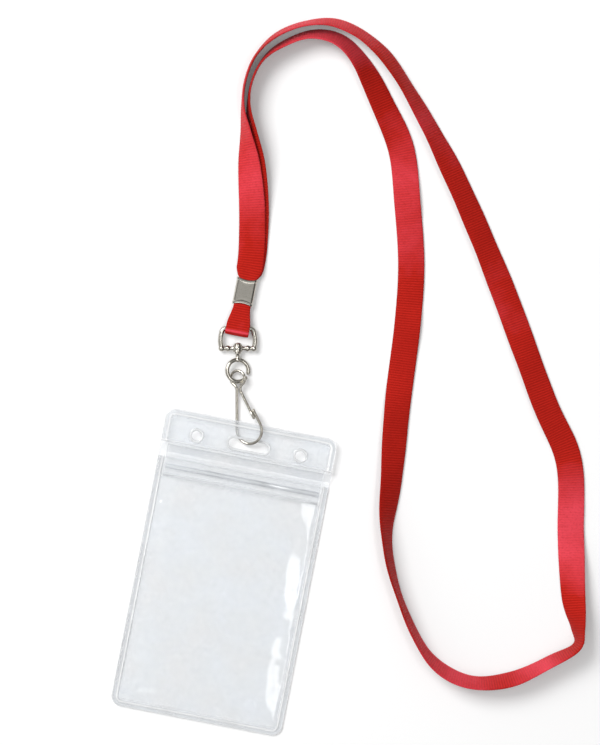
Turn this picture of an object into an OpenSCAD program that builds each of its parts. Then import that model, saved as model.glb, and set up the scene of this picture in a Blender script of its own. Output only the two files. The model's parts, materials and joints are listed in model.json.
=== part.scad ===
// Neck lanyard with a crimped strap end, a swivel wire hook and a clear resealable badge pouch.
// It lies flat: the pouch's long axis is Y, the pouch's back is on Z = 0, the neck loop is spread to +X.

/* [Strap] */
// Width of the flat webbing
strap_w = 10; // [8:0.5:16]
// Thickness of the webbing
strap_t = 0.9; // [0.6:0.1:1.2]
// Width of the folded tab where it goes round the D-ring
tab_w = 9; // [8:0.1:9.1]

/* [Crimp] */
// Width of the flattened metal sleeve
crimp_w = 7.4; // [6:0.1:8]
// Length of the sleeve along the strap
crimp_l = 10.6; // [8:0.2:16]
// Wall of the sleeve
crimp_wall = 0.4; // [0.3:0.05:0.6]
// Depth of the curved dip in each end of the sleeve
crimp_dip = 0.8; // [0.3:0.1:1.5]
// Gap from the D-ring's strap bar to the sleeve
crimp_gap = 8.8; // [7:0.1:14]

/* [D-ring] */
// Thickness of the ring's round bar
ring_d = 1.9; // [1.5:0.1:2.4]
// Height between the strap bar and the swivel bar
ring_h = 7.6; // [7:0.1:11]
// Width between the two arms
ring_w = 12.3; // [11.5:0.1:14]
// Outward bow of the two arms
ring_bow = 0.4; // [0:0.1:0.8]
// Bend radius of the ring's upper corners
ring_corner = 1.7; // [1.5:0.1:2]
// Diameter of the boss that carries the swivel
boss_d = 3.6; // [3:0.1:4]
// Length of the boss along the swivel axis
boss_l = 2.8; // [2:0.1:4]
// Slew of the ring and hook against the strap, in the plane of the table
chain_slew = 11; // [8:0.5:12]

/* [Swivel] */
// Diameter of the swivel stem
stem_d = 1.5; // [1.2:0.05:1.8]
// Length of the stem from the D-ring bar to the eye
stem_l = 4.3; // [3.5:0.1:6]
// Thickness of the eye's wire
eye_wire = 1.55; // [1.3:0.05:1.6]
// Diameter of the eye, to the middle of its wire
eye_d = 8.3; // [8.1:0.1:8.6]
// Roll of the eye about the swivel axis
eye_roll = 16; // [14:0.5:17]
// Width of the seam where the eye was closed
eye_seam = 0.7; // [0.3:0.1:0.9]

/* [Hook] */
// Thickness of the hook's spring wire
hook_wire_d = 1.1; // [0.9:0.05:1.2]
// Diameter of the hook's head loop, to the middle of its wire
head_d = 5.8; // [5.6:0.1:6.4]
// Bend radius of the two necks below the head loop, to the middle of the wire
neck_r = 2.2; // [1.6:0.1:2.6]
// Diameter of the jaw, to the middle of its wire
jaw_d = 10.4; // [9.8:0.1:11]
// Length from the head's centre to the jaw's centre
hook_l = 19.5; // [18.5:0.1:22.5]
// Distance of the spine to the right of the head's centre
spine_offset = -0.4; // [-0.6:0.05:0.2]
// Distance between spine and gate arm at the necks, to the middle of the wires
neck_gap = 1.75; // [1.7:0.05:2.2]
// Length of the jaw's straight return up to the catch
return_l = 5.9; // [5:0.1:6.5]
// Length of gate arm that lies in the catch
catch_l = 2.7; // [2:0.1:3.2]
// Wall of the curled catch
catch_wall = 0.35; // [0.25:0.05:0.5]
// Roll of the hook about its own length as it lies
hook_roll = 24; // [22:0.5:26]

/* [Pouch] */
// Width of the pouch
pouch_w = 66; // [60:1:100]
// Height of the pouch with its header
pouch_h = 115; // [95:1:160]
// Thickness of the vinyl film
film_t = 0.25; // [0.2:0.05:0.3]
// Radius of the pouch's corners
corner_r = 4; // [3.5:0.25:8]
// Width of the welded rim
rim_w = 2.4; // [1.5:0.1:3]
// Room for a card between the two films
pocket_gap = 1.2; // [1.1:0.05:1.5]

/* [Header] */
// Drop of the slot's and holes' centre line from the top edge
slot_drop = 8.6; // [7.6:0.1:9.4]
// Length of the hook slot
slot_w = 15; // [14:0.5:18]
// Height of the hook slot
slot_h = 3.6; // [3.5:0.1:4]
// Diameter of the two chain holes
hole_d = 3.6; // [3:0.1:5]
// Distance between the chain holes
hole_span = 40; // [32:0.5:48]
// Width of the embossed ring round the slot and the holes
emboss_w = 0.9; // [0.5:0.1:1.4]
// Height of the embossed ring
emboss_h = 0.12; // [0.05:0.01:0.15]
// Drop of the header film's lower edge
header_drop = 12.7; // [12:0.1:13.5]

/* [Zip] */
// Height of the zip's base strips
zip_h = 6; // [5:0.1:6.4]
// Drop of the zip's centre line from the top edge
zip_drop = 21.8; // [21.4:0.1:30]
// Thickness of the base strips
zip_base = 0.15; // [0.1:0.05:0.2]
// Width of the zip's rib
rib_w = 0.6; // [0.4:0.05:0.8]
// Depth that the rib reaches into the groove
rib_bite = 0.45; // [0.2:0.05:0.5]
// Wall on each side of the groove
groove_wall = 0.4; // [0.3:0.05:0.6]

/* [Fits] */
// Gap round the D-ring bar in the strap fold
fold_clear = 0.1; // [0.05:0.01:0.2]
// Radial gap of the swivel stem in its boss
stem_clear = 0.05; // [0.03:0.01:0.1]
// Gap between the sleeve and the webbing in it
crimp_clear = 0.05; // [0.02:0.01:0.1]
// Gap between the gate arm and the catch
catch_clear = 0.12; // [0.08:0.01:0.2]
// Gap on each side of the rib in the groove
rib_clear = 0.25; // [0.2:0.01:0.35]
// Gap between neighbouring edges of film
film_gap = 0.3; // [0.2:0.05:0.5]
// Gap between the hook wire and the table
table_clear = 0.03; // [0.02:0.01:0.1]
// Distance from the head loop's centre to the middle of the eye's wire in it
link_slack = 1.2; // [1.1:0.05:1.3]
// Distance of the jaw's wire above the slot's centre line
jaw_seat = 0.8; // [0.3:0.05:0.9]
// Distance of the jaw to the right of the slot's middle
jaw_side = 0.2; // [0:0.1:2]
// Gap between the gate arm and the wire that it bends from
gate_clear = 0.1; // [0.08:0.01:0.15]
// Half the gap between the ends of strap and tab in the sleeve
end_gap = 0.5; // [0.3:0.1:1]

/* [Hidden] */
$fn = 48;
RED = [0.78, 0.11, 0.13];
NICKEL = [0.78, 0.77, 0.72];
VINYL = [0.90, 0.93, 0.95, 0.5];
over = 1;
wire_sides = 16;
// Share of a wire's diameter that is bevelled off a cut end
bevel_depth = 0.25;

// Levels of the pouch: films, pocket, header step and hinge line
top_y = pouch_h / 2;
slot_y = top_y - slot_drop;
zip_y = top_y - zip_drop;
panel_z = film_t + pocket_gap;
hinge_y = zip_y - zip_h / 2 - rim_w / 2;
hinge_z = panel_z + film_t / 2;
step_low = zip_y + zip_h / 2 + film_gap;
step_high = slot_y - slot_h / 2 - emboss_w - film_gap;
lip_y = top_y - header_drop - film_gap;

// Swivel axis height: the strap fold lies on the table and holds the ring's bar
fold_in = ring_d / 2 + fold_clear;
fold_out = fold_in + strap_t;
axis_z = fold_out;

// Hook plane: origin at the head's centre, x across, y along, towards the strap; the jaw dips to the table
hook_dip = asin((axis_z + spine_offset * sin(hook_roll) - hook_wire_d / 2 - table_clear) / hook_l);
head_r = head_d / 2;
jaw_r = jaw_d / 2;
jaw_c = [jaw_r + spine_offset, -hook_l];
gate_inset = hook_wire_d + catch_clear + catch_wall / 6;
to_neck = [neck_gap - jaw_r, hook_l - head_r - neck_r];
gate_slant = atan2(to_neck.y, to_neck.x) - acos((jaw_r - gate_inset) / norm(to_neck));
gate_up = [-sin(gate_slant), cos(gate_slant)];
gate_out = [cos(gate_slant), sin(gate_slant)];
gate_foot = jaw_c + (jaw_r - gate_inset) * gate_out;
return_foot = jaw_c + jaw_r * gate_out;
return_tip = return_foot + return_l * gate_up;
gate_tip = gate_foot + (return_l - catch_l) * gate_up;
spine_neck = [spine_offset - neck_r, -sqrt(pow(head_r + neck_r, 2) - pow(spine_offset - neck_r, 2))];
gate_far = gate_foot + neck_r * gate_out;
gate_run = -(gate_far * gate_up)
           - sqrt(pow(gate_far * gate_up, 2) - gate_far * gate_far + pow(head_r + neck_r, 2));
gate_neck = gate_far + gate_run * gate_up;
gate_top = gate_neck - neck_r * gate_out;
spine_angle = atan2(spine_neck.y, spine_neck.x);
gate_angle = atan2(gate_neck.y, gate_neck.x);

// Chain of hardware: the jaw hangs in the slot, and each piece follows from the one below it
eye_c = -stem_l - eye_d / 2;
head_y = eye_c - eye_d / 2 + link_slack;
jaw_low = [jaw_c.x, -hook_l - jaw_r, 0];

function slew(p) = [p.x * cos(chain_slew) - p.y * sin(chain_slew),
                    p.x * sin(chain_slew) + p.y * cos(chain_slew), p.z];
function roll_dip(p) =
    let (r = [p.x * cos(hook_roll) - p.z * sin(hook_roll), p.y, p.x * sin(hook_roll) + p.z * cos(hook_roll)])
    [r.x, r.y * cos(hook_dip) - r.z * sin(hook_dip), r.y * sin(hook_dip) + r.z * cos(hook_dip)];

jaw_at = slew([0, head_y, 0] + roll_dip(jaw_low));
chain_at = [jaw_side, slot_y + jaw_seat, 0] - [jaw_at.x, jaw_at.y, 0];
bar_at = chain_at + slew([0, ring_h, 0]);
step_rise = axis_z + jaw_at.z - film_t;

// Strap end: fold round the ring's bar, then the sleeve
bar_sag = sin(chain_slew) * tab_w / 2;
fold_y = bar_at.y - bar_sag - fold_clear;
crimp_y = bar_at.y + crimp_gap;
crimp_mid = crimp_y + crimp_l / 2;
pair_t = 2 * strap_t;
cavity_w = crimp_w - 2 * crimp_wall;
pinched_w = cavity_w - 2 * crimp_clear;
low_lift = axis_z - strap_t - crimp_clear / 2;
high_lift = axis_z + crimp_clear / 2;
strap_end = end_gap - crimp_l / 2;

// Neck strap's route from the sleeve's mouth and back: [x, y, roll, lift above the table]
ROUTE = [
    [0, strap_end, 0, low_lift], [0, 0, 0, low_lift], [0.5, 6, 0, 0.2], [0, 14, 0, 0], [-2, 27, -8, 0],
    [-5.5, 42, -32, 0], [-9, 54, -64, 0], [-12, 64, -84, 0], [-12.5, 73, -88, 0],
    [-10, 82, -82, 0], [-4, 89, -72, 0], [6, 95, -64, 0], [17, 95, -60, 0], [27, 88, -48, 0],
    [38, 74, -22, 0], [48, 59, -2, 0], [54, 40, 0, 0], [60, 17, 0, 0], [63, -6, 0, 0],
    [65, -36, -6, 0], [68, -64, -36, 0], [70, -84, -62, 0], [76, -101, -72, 0],
    [87, -119, -78, 0], [98, -130, -68, 0], [112, -134, -62, 0], [127, -130, -64, 0],
    [141, -120, -74, 0], [149, -113, -78, 0], [148, -106, -60, 0], [144, -94, -28, 0],
    [139, -72, -6, 0], [133, -45, 4, 0], [119, -24, 12, 0], [94, 17, 18, 0], [68, 55, 38, 0],
    [43, 85, 58, 0], [29, 96.5, 63, 0], [15, 101, 66, 0], [3, 98.5, 70, 0], [-7, 92, 78, 0],
    [-13, 83, 85, 0], [-15, 73, 88, 0], [-14, 63, 84, 0], [-11, 53.5, 66, 0.3],
    [-7.5, 42, 34, 0.8], [-3.5, 27, 10, 1], [-1, 14, 0, 1], [0, 6, 0, 1.2], [0, 0, 0, high_lift],
    [0, strap_end, 0, high_lift]];
ring_step = 6;
flare = 4;
// Section of the webbing in half widths and half thicknesses: rounded edges
edge_bevel = 0.6;
edge_flat = 0.4;

// Catmull-Rom curve through the route, in steps of about ring_step
function blend4(a, b, c, d, t) =
    0.5 * (2 * b + (c - a) * t + (2 * a - 5 * b + 4 * c - d) * t * t + (3 * b - a - 3 * c + d) * t * t * t);
function span(i) = norm([ROUTE[i + 1].x - ROUTE[i].x, ROUTE[i + 1].y - ROUTE[i].y]);
last = len(ROUTE) - 1;
path = [
    for (i = [0 : last - 1])
        let (n = max(1, round(span(i) / ring_step)))
        for (k = [0 : n - 1])
            blend4(ROUTE[max(i - 1, 0)], ROUTE[i], ROUTE[i + 1], ROUTE[min(i + 2, last)], k / n),
    ROUTE[last]];
ends = len(path) - 1;
function from_mouth(p) = norm([p.x, max(p.y, 0)]);
function ease(t) = t <= 0 ? 0 : t >= 1 ? 1 : t * t * (3 - 2 * t);
function width_at(i) = pinched_w + (strap_w - pinched_w) * ease(from_mouth(path[i]) / flare);
function ring_at(i) =
    let (p = path[i],
         ahead = path[min(i + 1, ends)] - path[max(i - 1, 0)],
         run = [ahead.x, ahead.y] / norm([ahead.x, ahead.y]),
         w = width_at(i) / 2,
         h = strap_t / 2,
         in_w = w - edge_bevel * h,
         across = [-run.y * cos(p[2]), run.x * cos(p[2]), sin(p[2])],
         up = [run.y * sin(p[2]), -run.x * sin(p[2]), cos(p[2])],
         mid = [bar_at.x + p.x, crimp_y + crimp_l + p.y, p[3] + w * abs(sin(p[2])) + h * cos(p[2])])
    [for (c = [[w, edge_flat], [in_w, 1], [-in_w, 1], [-w, edge_flat],
               [-w, -edge_flat], [-in_w, -1], [in_w, -1], [w, -edge_flat]])
        mid + c[0] * across + c[1] * h * up];

// Closed solid over a row of rings with the same number of points each
module skin(rings) {
    sides = len(rings[0]);
    stop = (len(rings) - 1) * sides;
    walls = [for (i = [0 : len(rings) - 2], j = [0 : sides - 1])
        let (a = i * sides + j, b = i * sides + (j + 1) % sides)
        each [[a, a + sides, b], [b, a + sides, b + sides]]];
    caps = [for (j = [1 : sides - 2]) each [[0, j, j + 1], [stop, stop + j + 1, stop + j]]];
    polyhedron([for (r = rings) each r], concat(walls, caps));
}

module neck_strap() {
    color(RED) skin([for (i = [0 : ends]) ring_at(i)]);
}

// Side outline of the folded tab in Y and Z, grown or shrunk to either face of the webbing
module tab_side(fold_r, end_half, end_y) {
    hold_y = bar_at.y + bar_sag + fold_clear;
    translate([fold_y, axis_z]) circle(fold_r);
    polygon([[fold_y, axis_z - fold_r], [hold_y, axis_z - fold_r], [crimp_y, axis_z - end_half],
             [end_y, axis_z - end_half], [end_y, axis_z + end_half], [crimp_y, axis_z + end_half],
             [hold_y, axis_z + fold_r], [fold_y, axis_z + fold_r]]);
}

module along_x(w) {
    translate([-w / 2, 0, 0]) rotate([90, 0, 90]) linear_extrude(w) children();
}

module strap_tab() {
    slim = pinched_w / 2;
    wide = tab_w / 2;
    low_y = fold_y - fold_out - over;
    color(RED) translate([bar_at.x, 0, 0]) intersection() {
        along_x(tab_w) difference() {
            tab_side(fold_out, strap_t, crimp_mid - end_gap);
            tab_side(fold_in, 0, crimp_y);
        }
        linear_extrude(2 * fold_out + over) polygon([
            [-wide, low_y], [wide, low_y], [wide, fold_y + fold_out], [slim, crimp_y],
            [slim, crimp_mid], [-slim, crimp_mid], [-slim, crimp_y], [-wide, fold_y + fold_out]]);
    }
}

// Flat outline with half-round ends
module racetrack(w, h) {
    square([w - h, h], center = true);
    for (s = [-1, 1]) translate([s * (w - h) / 2, 0]) circle(h / 2);
}

module crimp() {
    in_h = pair_t + 2 * crimp_clear;
    out_h = in_h + 2 * crimp_wall;
    dip_r = (pow(crimp_w / 2, 2) + crimp_dip * crimp_dip) / (2 * crimp_dip);
    color(NICKEL) translate([bar_at.x, crimp_y, axis_z]) difference() {
        translate([0, crimp_l, 0]) rotate([90, 0, 0]) linear_extrude(crimp_l) difference() {
            racetrack(crimp_w + crimp_wall, out_h);
            square([cavity_w, in_h], center = true);
        }
        for (end = [0, 1])
            translate([0, end * crimp_l + (end - 0.5) * 2 * (dip_r - crimp_dip), -out_h])
                cylinder(r = dip_r, h = 2 * out_h, $fn = 96);
    }
}

// Lengths of round wire in one plane
module wire_line(p, q, d) {
    run = q - p;
    translate([p.x, p.y, 0]) rotate([0, 90, atan2(run.y, run.x)]) cylinder(d = d, h = norm(run));
}

module wire_arc(c, r, from, to, d) {
    translate([c.x, c.y, 0]) rotate([0, 0, from])
        rotate_extrude(angle = to - from) translate([r, 0]) circle(d / 2);
}

// Round wire bent along a flat path of [x, y], bevelled at its last end
function arc_path(c, r, from, to, n) =
    [for (i = [0 : n]) let (a = from + (to - from) * i / n) c + r * [cos(a), sin(a)]];
module bent_wire(points, d) {
    stop = len(points) - 1;
    function ring(i, r) =
        let (run = points[min(i + 1, stop)] - points[max(i - 1, 0)],
             side = [-run.y, run.x, 0] / norm(run),
             at = [points[i].x, points[i].y, 0])
        [for (k = [0 : wire_sides - 1])
            let (turn = k * 360 / wire_sides) at + r * (cos(turn) * side + [0, 0, sin(turn)])];
    thin = d / 2 - bevel_depth * d;
    skin([for (i = [0 : stop]) ring(i, i == stop ? thin : d / 2)]);
}

module in_chain() {
    translate(chain_at + [0, 0, axis_z]) rotate([0, 0, chain_slew]) children();
}

module d_ring() {
    arm_x = ring_w / 2;
    straight = arm_x - ring_corner;
    shoulder = ring_h - ring_corner;
    knob_r = 0.62 * ring_d;
    bead_x = 0.62 * arm_x;
    bar_d = 0.8 * ring_d;
    arm_steps = 8;
    side = concat(
        [for (i = [0 : arm_steps - 1])
            let (t = i / arm_steps) [arm_x + ring_bow * sin(180 * t), shoulder * t]],
        arc_path([straight, shoulder], ring_corner, 0, 90, 6));
    bent = concat(side, [for (i = [len(side) - 1 : -1 : 0]) [-side[i].x, side[i].y]]);
    color(NICKEL) in_chain() difference() {
        union() {
            bent_wire(bent, ring_d);
            for (x = [-arm_x, -bead_x, bead_x, arm_x]) translate([x, 0, 0]) sphere(knob_r, $fn = 24);
            wire_line([-arm_x, 0], [arm_x, 0], bar_d);
            wire_line([0, -boss_l / 2], [0, boss_l / 2], boss_d);
        }
        wire_line([0, -boss_l / 2 - over], [0, boss_l / 2 + over], stem_d + 2 * stem_clear);
    }
}

module swivel_eye() {
    rivet_h = 0.5 * stem_d;
    rivet_d = 0.8 * boss_d;
    collar_d = 1.4 * stem_d;
    seam = eye_seam / (eye_d / 2) * 180 / PI;
    open_at = -32;
    rivet_y = boss_l / 2 + stem_clear;
    color(NICKEL) in_chain() rotate([0, eye_roll, 0]) {
        wire_line([0, -stem_l], [0, rivet_y], stem_d);
        wire_line([0, rivet_y], [0, rivet_y + rivet_h], rivet_d);
        wire_line([0, -stem_l - eye_wire / 2], [0, -boss_l / 2 - stem_clear], collar_d);
        wire_arc([0, eye_c], eye_d / 2, open_at + seam, 90, eye_wire);
        wire_arc([0, eye_c], eye_d / 2, 90, 360 + open_at, eye_wire);
    }
}

module in_hook() {
    in_chain() translate([0, head_y, 0]) rotate([hook_dip, 0, 0]) rotate([0, -hook_roll, 0]) children();
}

module hook_wire() {
    catch_in = hook_wire_d / 2 + catch_clear;
    catch_out = catch_in + catch_wall;
    bent = concat(
        arc_path(gate_neck, neck_r, 180 + gate_slant, 180 + gate_angle, 6),
        arc_path([0, 0], head_r, gate_angle, 360 + spine_angle, 30),
        arc_path(spine_neck, neck_r, spine_angle + 180, 0, 6),
        arc_path(jaw_c, jaw_r, -180, gate_slant, 24),
        [return_tip - hook_wire_d * bevel_depth * gate_up, return_tip]);
    color(NICKEL) in_hook() {
        bent_wire(bent, hook_wire_d);
        difference() {
            wire_line(gate_tip, gate_tip + catch_l * gate_up, 2 * catch_out);
            wire_line(gate_tip - over * gate_up, gate_tip + (catch_l + over) * gate_up, 2 * catch_in);
            translate([gate_tip.x, gate_tip.y, 0]) rotate([0, 0, gate_slant])
                translate([-2 * catch_out, -over, -catch_out])
                    cube([2 * catch_out, catch_l + 2 * over, 2 * catch_out]);
        }
    }
}

module gate_arm() {
    bevel = hook_wire_d * bevel_depth * gate_up;
    start = gate_top - gate_clear * gate_up;
    color(NICKEL) in_hook() bent_wire([start, gate_tip + bevel, gate_tip], hook_wire_d);
}

// Pouch outline in plan, drawn in from its edge by inset
module pouch_plan(inset) {
    w = pouch_w - 2 * inset;
    h = pouch_h - 2 * inset;
    r = corner_r - inset;
    square([w - 2 * r, h], center = true);
    square([w, h - 2 * r], center = true);
    for (x = [-1, 1], y = [-1, 1]) translate([x * (w / 2 - r), y * (h / 2 - r)]) circle(r);
}

// Film in side view from low to high, which climbs the step from the flat pocket to the lifted header
function rise(y) = step_rise * max(0, min(1, (y - step_low) / (step_high - step_low)));
module film_side(low, high, base) {
    ys = [low, for (y = [step_low, step_high]) if (y > low && y < high) y, high];
    under = [for (y = ys) [y, base + rise(y)]];
    above = [for (i = [len(ys) - 1 : -1 : 0]) [ys[i], base + film_t + rise(ys[i])]];
    polygon(concat(under, above));
}

// Slot and chain holes in plan, grown by grow
module header_holes(grow) {
    translate([0, slot_y]) racetrack(slot_w + 2 * grow, slot_h + 2 * grow);
    for (s = [-1, 1]) translate([s * hole_span / 2, slot_y]) circle(hole_d / 2 + grow);
}

module through_header() {
    translate([0, 0, step_rise - over]) linear_extrude(2 * over + 2 * film_t + emboss_h) children();
}

module back_sheet() {
    color(VINYL) difference() {
        intersection() {
            along_x(pouch_w) film_side(-top_y, top_y, 0);
            translate([0, 0, -over]) linear_extrude(step_rise + 2 * over) pouch_plan(0);
        }
        through_header() header_holes(0);
    }
}

module header_strip() {
    color(VINYL) difference() {
        union() {
            intersection() {
                along_x(pouch_w) film_side(top_y - header_drop, top_y, film_t);
                translate([0, 0, -over]) linear_extrude(step_rise + 2 * over) pouch_plan(0);
            }
            translate([0, 0, step_rise + 2 * film_t]) linear_extrude(emboss_h) header_holes(emboss_w);
        }
        through_header() header_holes(0);
    }
}

// Front film below the mouth: a shallow tray whose rim is welded to the back film
module front_panel() {
    module below_mouth(edge) {
        intersection() {
            children();
            translate([-pouch_w / 2, -top_y]) square([pouch_w, top_y + edge]);
        }
    }
    wall = rim_w + film_t;
    color(VINYL) {
        translate([0, 0, film_t]) linear_extrude(film_t) below_mouth(step_low) difference() {
            pouch_plan(0);
            pouch_plan(rim_w);
        }
        translate([0, 0, film_t]) linear_extrude(pocket_gap + film_t) below_mouth(hinge_y) difference() {
            pouch_plan(rim_w);
            pouch_plan(wall);
        }
        translate([0, 0, panel_z]) linear_extrude(film_t) below_mouth(hinge_y) pouch_plan(rim_w);
    }
}

inner_w = pouch_w - 2 * (rim_w + film_t + film_gap);

module mouth_flap() {
    color(VINYL) along_x(inner_w) film_side(hinge_y + film_t, lip_y, panel_z);
}

module zip_groove() {
    gap = rib_w / 2 + rib_clear;
    lip_z = panel_z - zip_base - rib_clear;
    color(VINYL) along_x(inner_w) {
        translate([zip_y - zip_h / 2, film_t]) square([zip_h, zip_base]);
        for (s = [-1, 1]) translate([zip_y + s * (gap + groove_wall / 2) - groove_wall / 2, film_t])
            square([groove_wall, lip_z - film_t]);
    }
}

module zip_rib() {
    base_z = panel_z - zip_base;
    tip_z = base_z - rib_clear - rib_bite + rib_w / 2;
    color(VINYL) along_x(inner_w) {
        translate([zip_y - zip_h / 2, base_z]) square([zip_h, zip_base]);
        translate([zip_y - rib_w / 2, tip_z]) square([rib_w, panel_z - tip_z]);
        translate([zip_y, tip_z]) circle(rib_w / 2);
    }
}

neck_strap();
strap_tab();
crimp();
d_ring();
swivel_eye();
hook_wire();
gate_arm();
back_sheet();
header_strip();
front_panel();
mouth_flap();
zip_groove();
zip_rib();
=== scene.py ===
"""A neck lanyard with a swivel hook and a clear badge pouch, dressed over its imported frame."""
import json
import math

import bmesh
import bpy
import numpy as np
from mathutils import Matrix


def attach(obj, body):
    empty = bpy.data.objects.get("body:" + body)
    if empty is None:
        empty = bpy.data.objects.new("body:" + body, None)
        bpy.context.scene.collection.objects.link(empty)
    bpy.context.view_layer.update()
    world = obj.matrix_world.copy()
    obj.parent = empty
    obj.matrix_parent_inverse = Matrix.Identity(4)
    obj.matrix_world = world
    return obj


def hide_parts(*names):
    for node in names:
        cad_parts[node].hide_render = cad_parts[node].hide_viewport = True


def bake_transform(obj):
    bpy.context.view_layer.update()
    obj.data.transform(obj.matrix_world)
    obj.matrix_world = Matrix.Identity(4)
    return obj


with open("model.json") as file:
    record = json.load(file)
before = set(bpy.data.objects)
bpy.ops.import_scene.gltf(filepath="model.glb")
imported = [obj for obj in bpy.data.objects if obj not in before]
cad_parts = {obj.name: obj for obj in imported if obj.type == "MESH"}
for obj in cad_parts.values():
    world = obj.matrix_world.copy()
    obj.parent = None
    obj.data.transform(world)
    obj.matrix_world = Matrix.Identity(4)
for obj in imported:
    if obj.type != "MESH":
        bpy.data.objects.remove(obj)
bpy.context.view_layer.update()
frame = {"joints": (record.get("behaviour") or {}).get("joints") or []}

bl_info = {
    "name": "Lanyard badge holder",
    "version": (1, 0, 0),
    "blender": (4, 5, 0),
    "location": "View3D > Sidebar > Lanyard",
    "description": "Builds a neck lanyard with a swivel hook and a clear badge pouch",
    "category": "Add Mesh",
}

MM = 0.001
UP = np.array([0.0, 0.0, 1.0])


def joint(name):
    """Returns a joint's place in millimetres and its unit axis."""
    found = next(j for j in frame["joints"] if j["name"] == name)
    axis = np.array(found["axis"], float)
    return np.array(found["pos_m"], float) / MM, axis / np.linalg.norm(axis)


# Sizes that repeat the part's source, in millimetres
STRAP_T = 0.9
PINCHED_W = 6.5
FLARE = 4.0
TAB_W = 9.0
SLEEVE_W = 7.8
SLEEVE_H = 2.7
SLEEVE_L = 10.6
SLEEVE_WALL = 0.4
SLEEVE_DIP = 0.8
SLEEVE_ABOVE_BAR = 8.8
FOLD_R = 1.5
FOLD_SAG = 0.959
STRAP_HIDDEN = 4.8
END_GAP = 0.5
RING_D = 1.9
RING_H = 7.6
RING_W = 12.3
RING_BOW = 0.4
RING_CORNER = 1.7
BOSS_D = 3.6
BOSS_L = 2.8
STEM_D = 1.5
STEM_L = 4.3
STEM_CLEAR = 0.05
EYE_WIRE = 1.55
EYE_D = 8.3
EYE_ROLL = math.radians(16)
EYE_OPEN_AT = math.radians(-32)
EYE_SEAM = 0.7
HOOK_WIRE = 1.1
HOOK_L = 19.5
HEAD_R = 2.9
NECK_R = 2.2
NECK_GAP = 1.75
JAW_R = 5.2
SPINE_OFFSET = -0.4
RETURN_L = 5.9
CATCH_L = 2.7
CATCH_WALL = 0.35
CATCH_CLEAR = 0.12
LINK_SLACK = 1.2
POUCH_W = 66.0
POUCH_H = 115.0
FILM_T = 0.25
CORNER_R = 4.0
RIM_W = 2.4
INNER_W = 60.1
PANEL_Z = 1.45
HINGE_Y = 31.5
ZIP_Y = 35.7
ZIP_H = 6.0
ZIP_BASE = 0.15
RIB_W = 0.6
RIB_BITE = 0.45
RIB_CLEAR = 0.25
GROOVE_WALL = 0.4
STEP_LOW = 39.0
STEP_HIGH = 45.9
LIP_Y = 44.5
HEADER_LOW = 44.8
SLOT_Y = 48.9
SLOT_W = 15.0
SLOT_H = 3.6
HOLE_D = 3.6
HOLE_SPAN = 40.0
EMBOSS_W = 0.9

# Places and directions of the hardware, from the frame's joints
BAR, _ = joint("d_ring_swing")
CHAIN, ALONG = joint("swivel_spin")
ACROSS = np.cross(ALONG, UP)
EYE_LOW, _ = joint("hook_swing")
_, gate_axis = joint("gate_squeeze")
HOOK_N = -gate_axis
JAW_LOW, _ = joint("pouch_turn")
STEP_RISE = JAW_LOW[2] - FILM_T
HEAD = EYE_LOW + LINK_SLACK * ALONG
HOOK_DIP = math.atan2(-HOOK_N @ ALONG, HOOK_N @ UP)
HOOK_Y = math.cos(HOOK_DIP) * ALONG + math.sin(HOOK_DIP) * UP
HOOK_X = np.cross(HOOK_Y, HOOK_N)
SLEEVE_Y = BAR[1] + SLEEVE_ABOVE_BAR
MOUTH = np.array([BAR[0], SLEEVE_Y + SLEEVE_L, BAR[2]])
LAYER_GAP = 0.025
LOW_LIFT = BAR[2] - STRAP_T - LAYER_GAP
HIGH_LIFT = BAR[2] + LAYER_GAP

# Neck strap's route from the sleeve's mouth and back: across, along, roll in degrees, lift
ROUTE = np.array([
    [0, -STRAP_HIDDEN, 0, LOW_LIFT], [0, 0, 0, LOW_LIFT], [0.5, 6, 0, 0.2], [0, 14, 0, 0],
    [-2, 27, -8, 0], [-5.5, 42, -32, 0], [-9, 54, -64, 0], [-12, 64, -84, 0], [-12.5, 73, -88, 0],
    [-10, 82, -82, 0], [-4, 89, -72, 0], [6, 95, -64, 0], [17, 95, -60, 0], [27, 88, -48, 0],
    [38, 74, -22, 0], [48, 59, -2, 0], [54, 40, 0, 0], [60, 17, 0, 0], [63, -6, 0, 0],
    [65, -36, -6, 0], [68, -64, -36, 0], [70, -84, -62, 0], [76, -101, -72, 0],
    [87, -119, -78, 0], [98, -130, -68, 0], [112, -134, -62, 0], [127, -130, -64, 0],
    [141, -120, -74, 0], [149, -113, -78, 0], [148, -106, -60, 0], [144, -94, -28, 0],
    [139, -72, -6, 0], [133, -45, 4, 0], [119, -24, 12, 0], [94, 17, 18, 0], [68, 55, 38, 0],
    [43, 85, 58, 0], [29, 96.5, 63, 0], [15, 101, 66, 0], [3, 98.5, 70, 0], [-7, 92, 78, 0],
    [-13, 83, 85, 0], [-15, 73, 88, 0], [-14, 63, 84, 0], [-11, 53.5, 66, 0.3],
    [-7.5, 42, 34, 0.8], [-3.5, 27, 10, 1], [-1, 14, 0, 1], [0, 6, 0, 1.2], [0, 0, 0, HIGH_LIFT],
    [0, -STRAP_HIDDEN, 0, HIGH_LIFT]])

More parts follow.
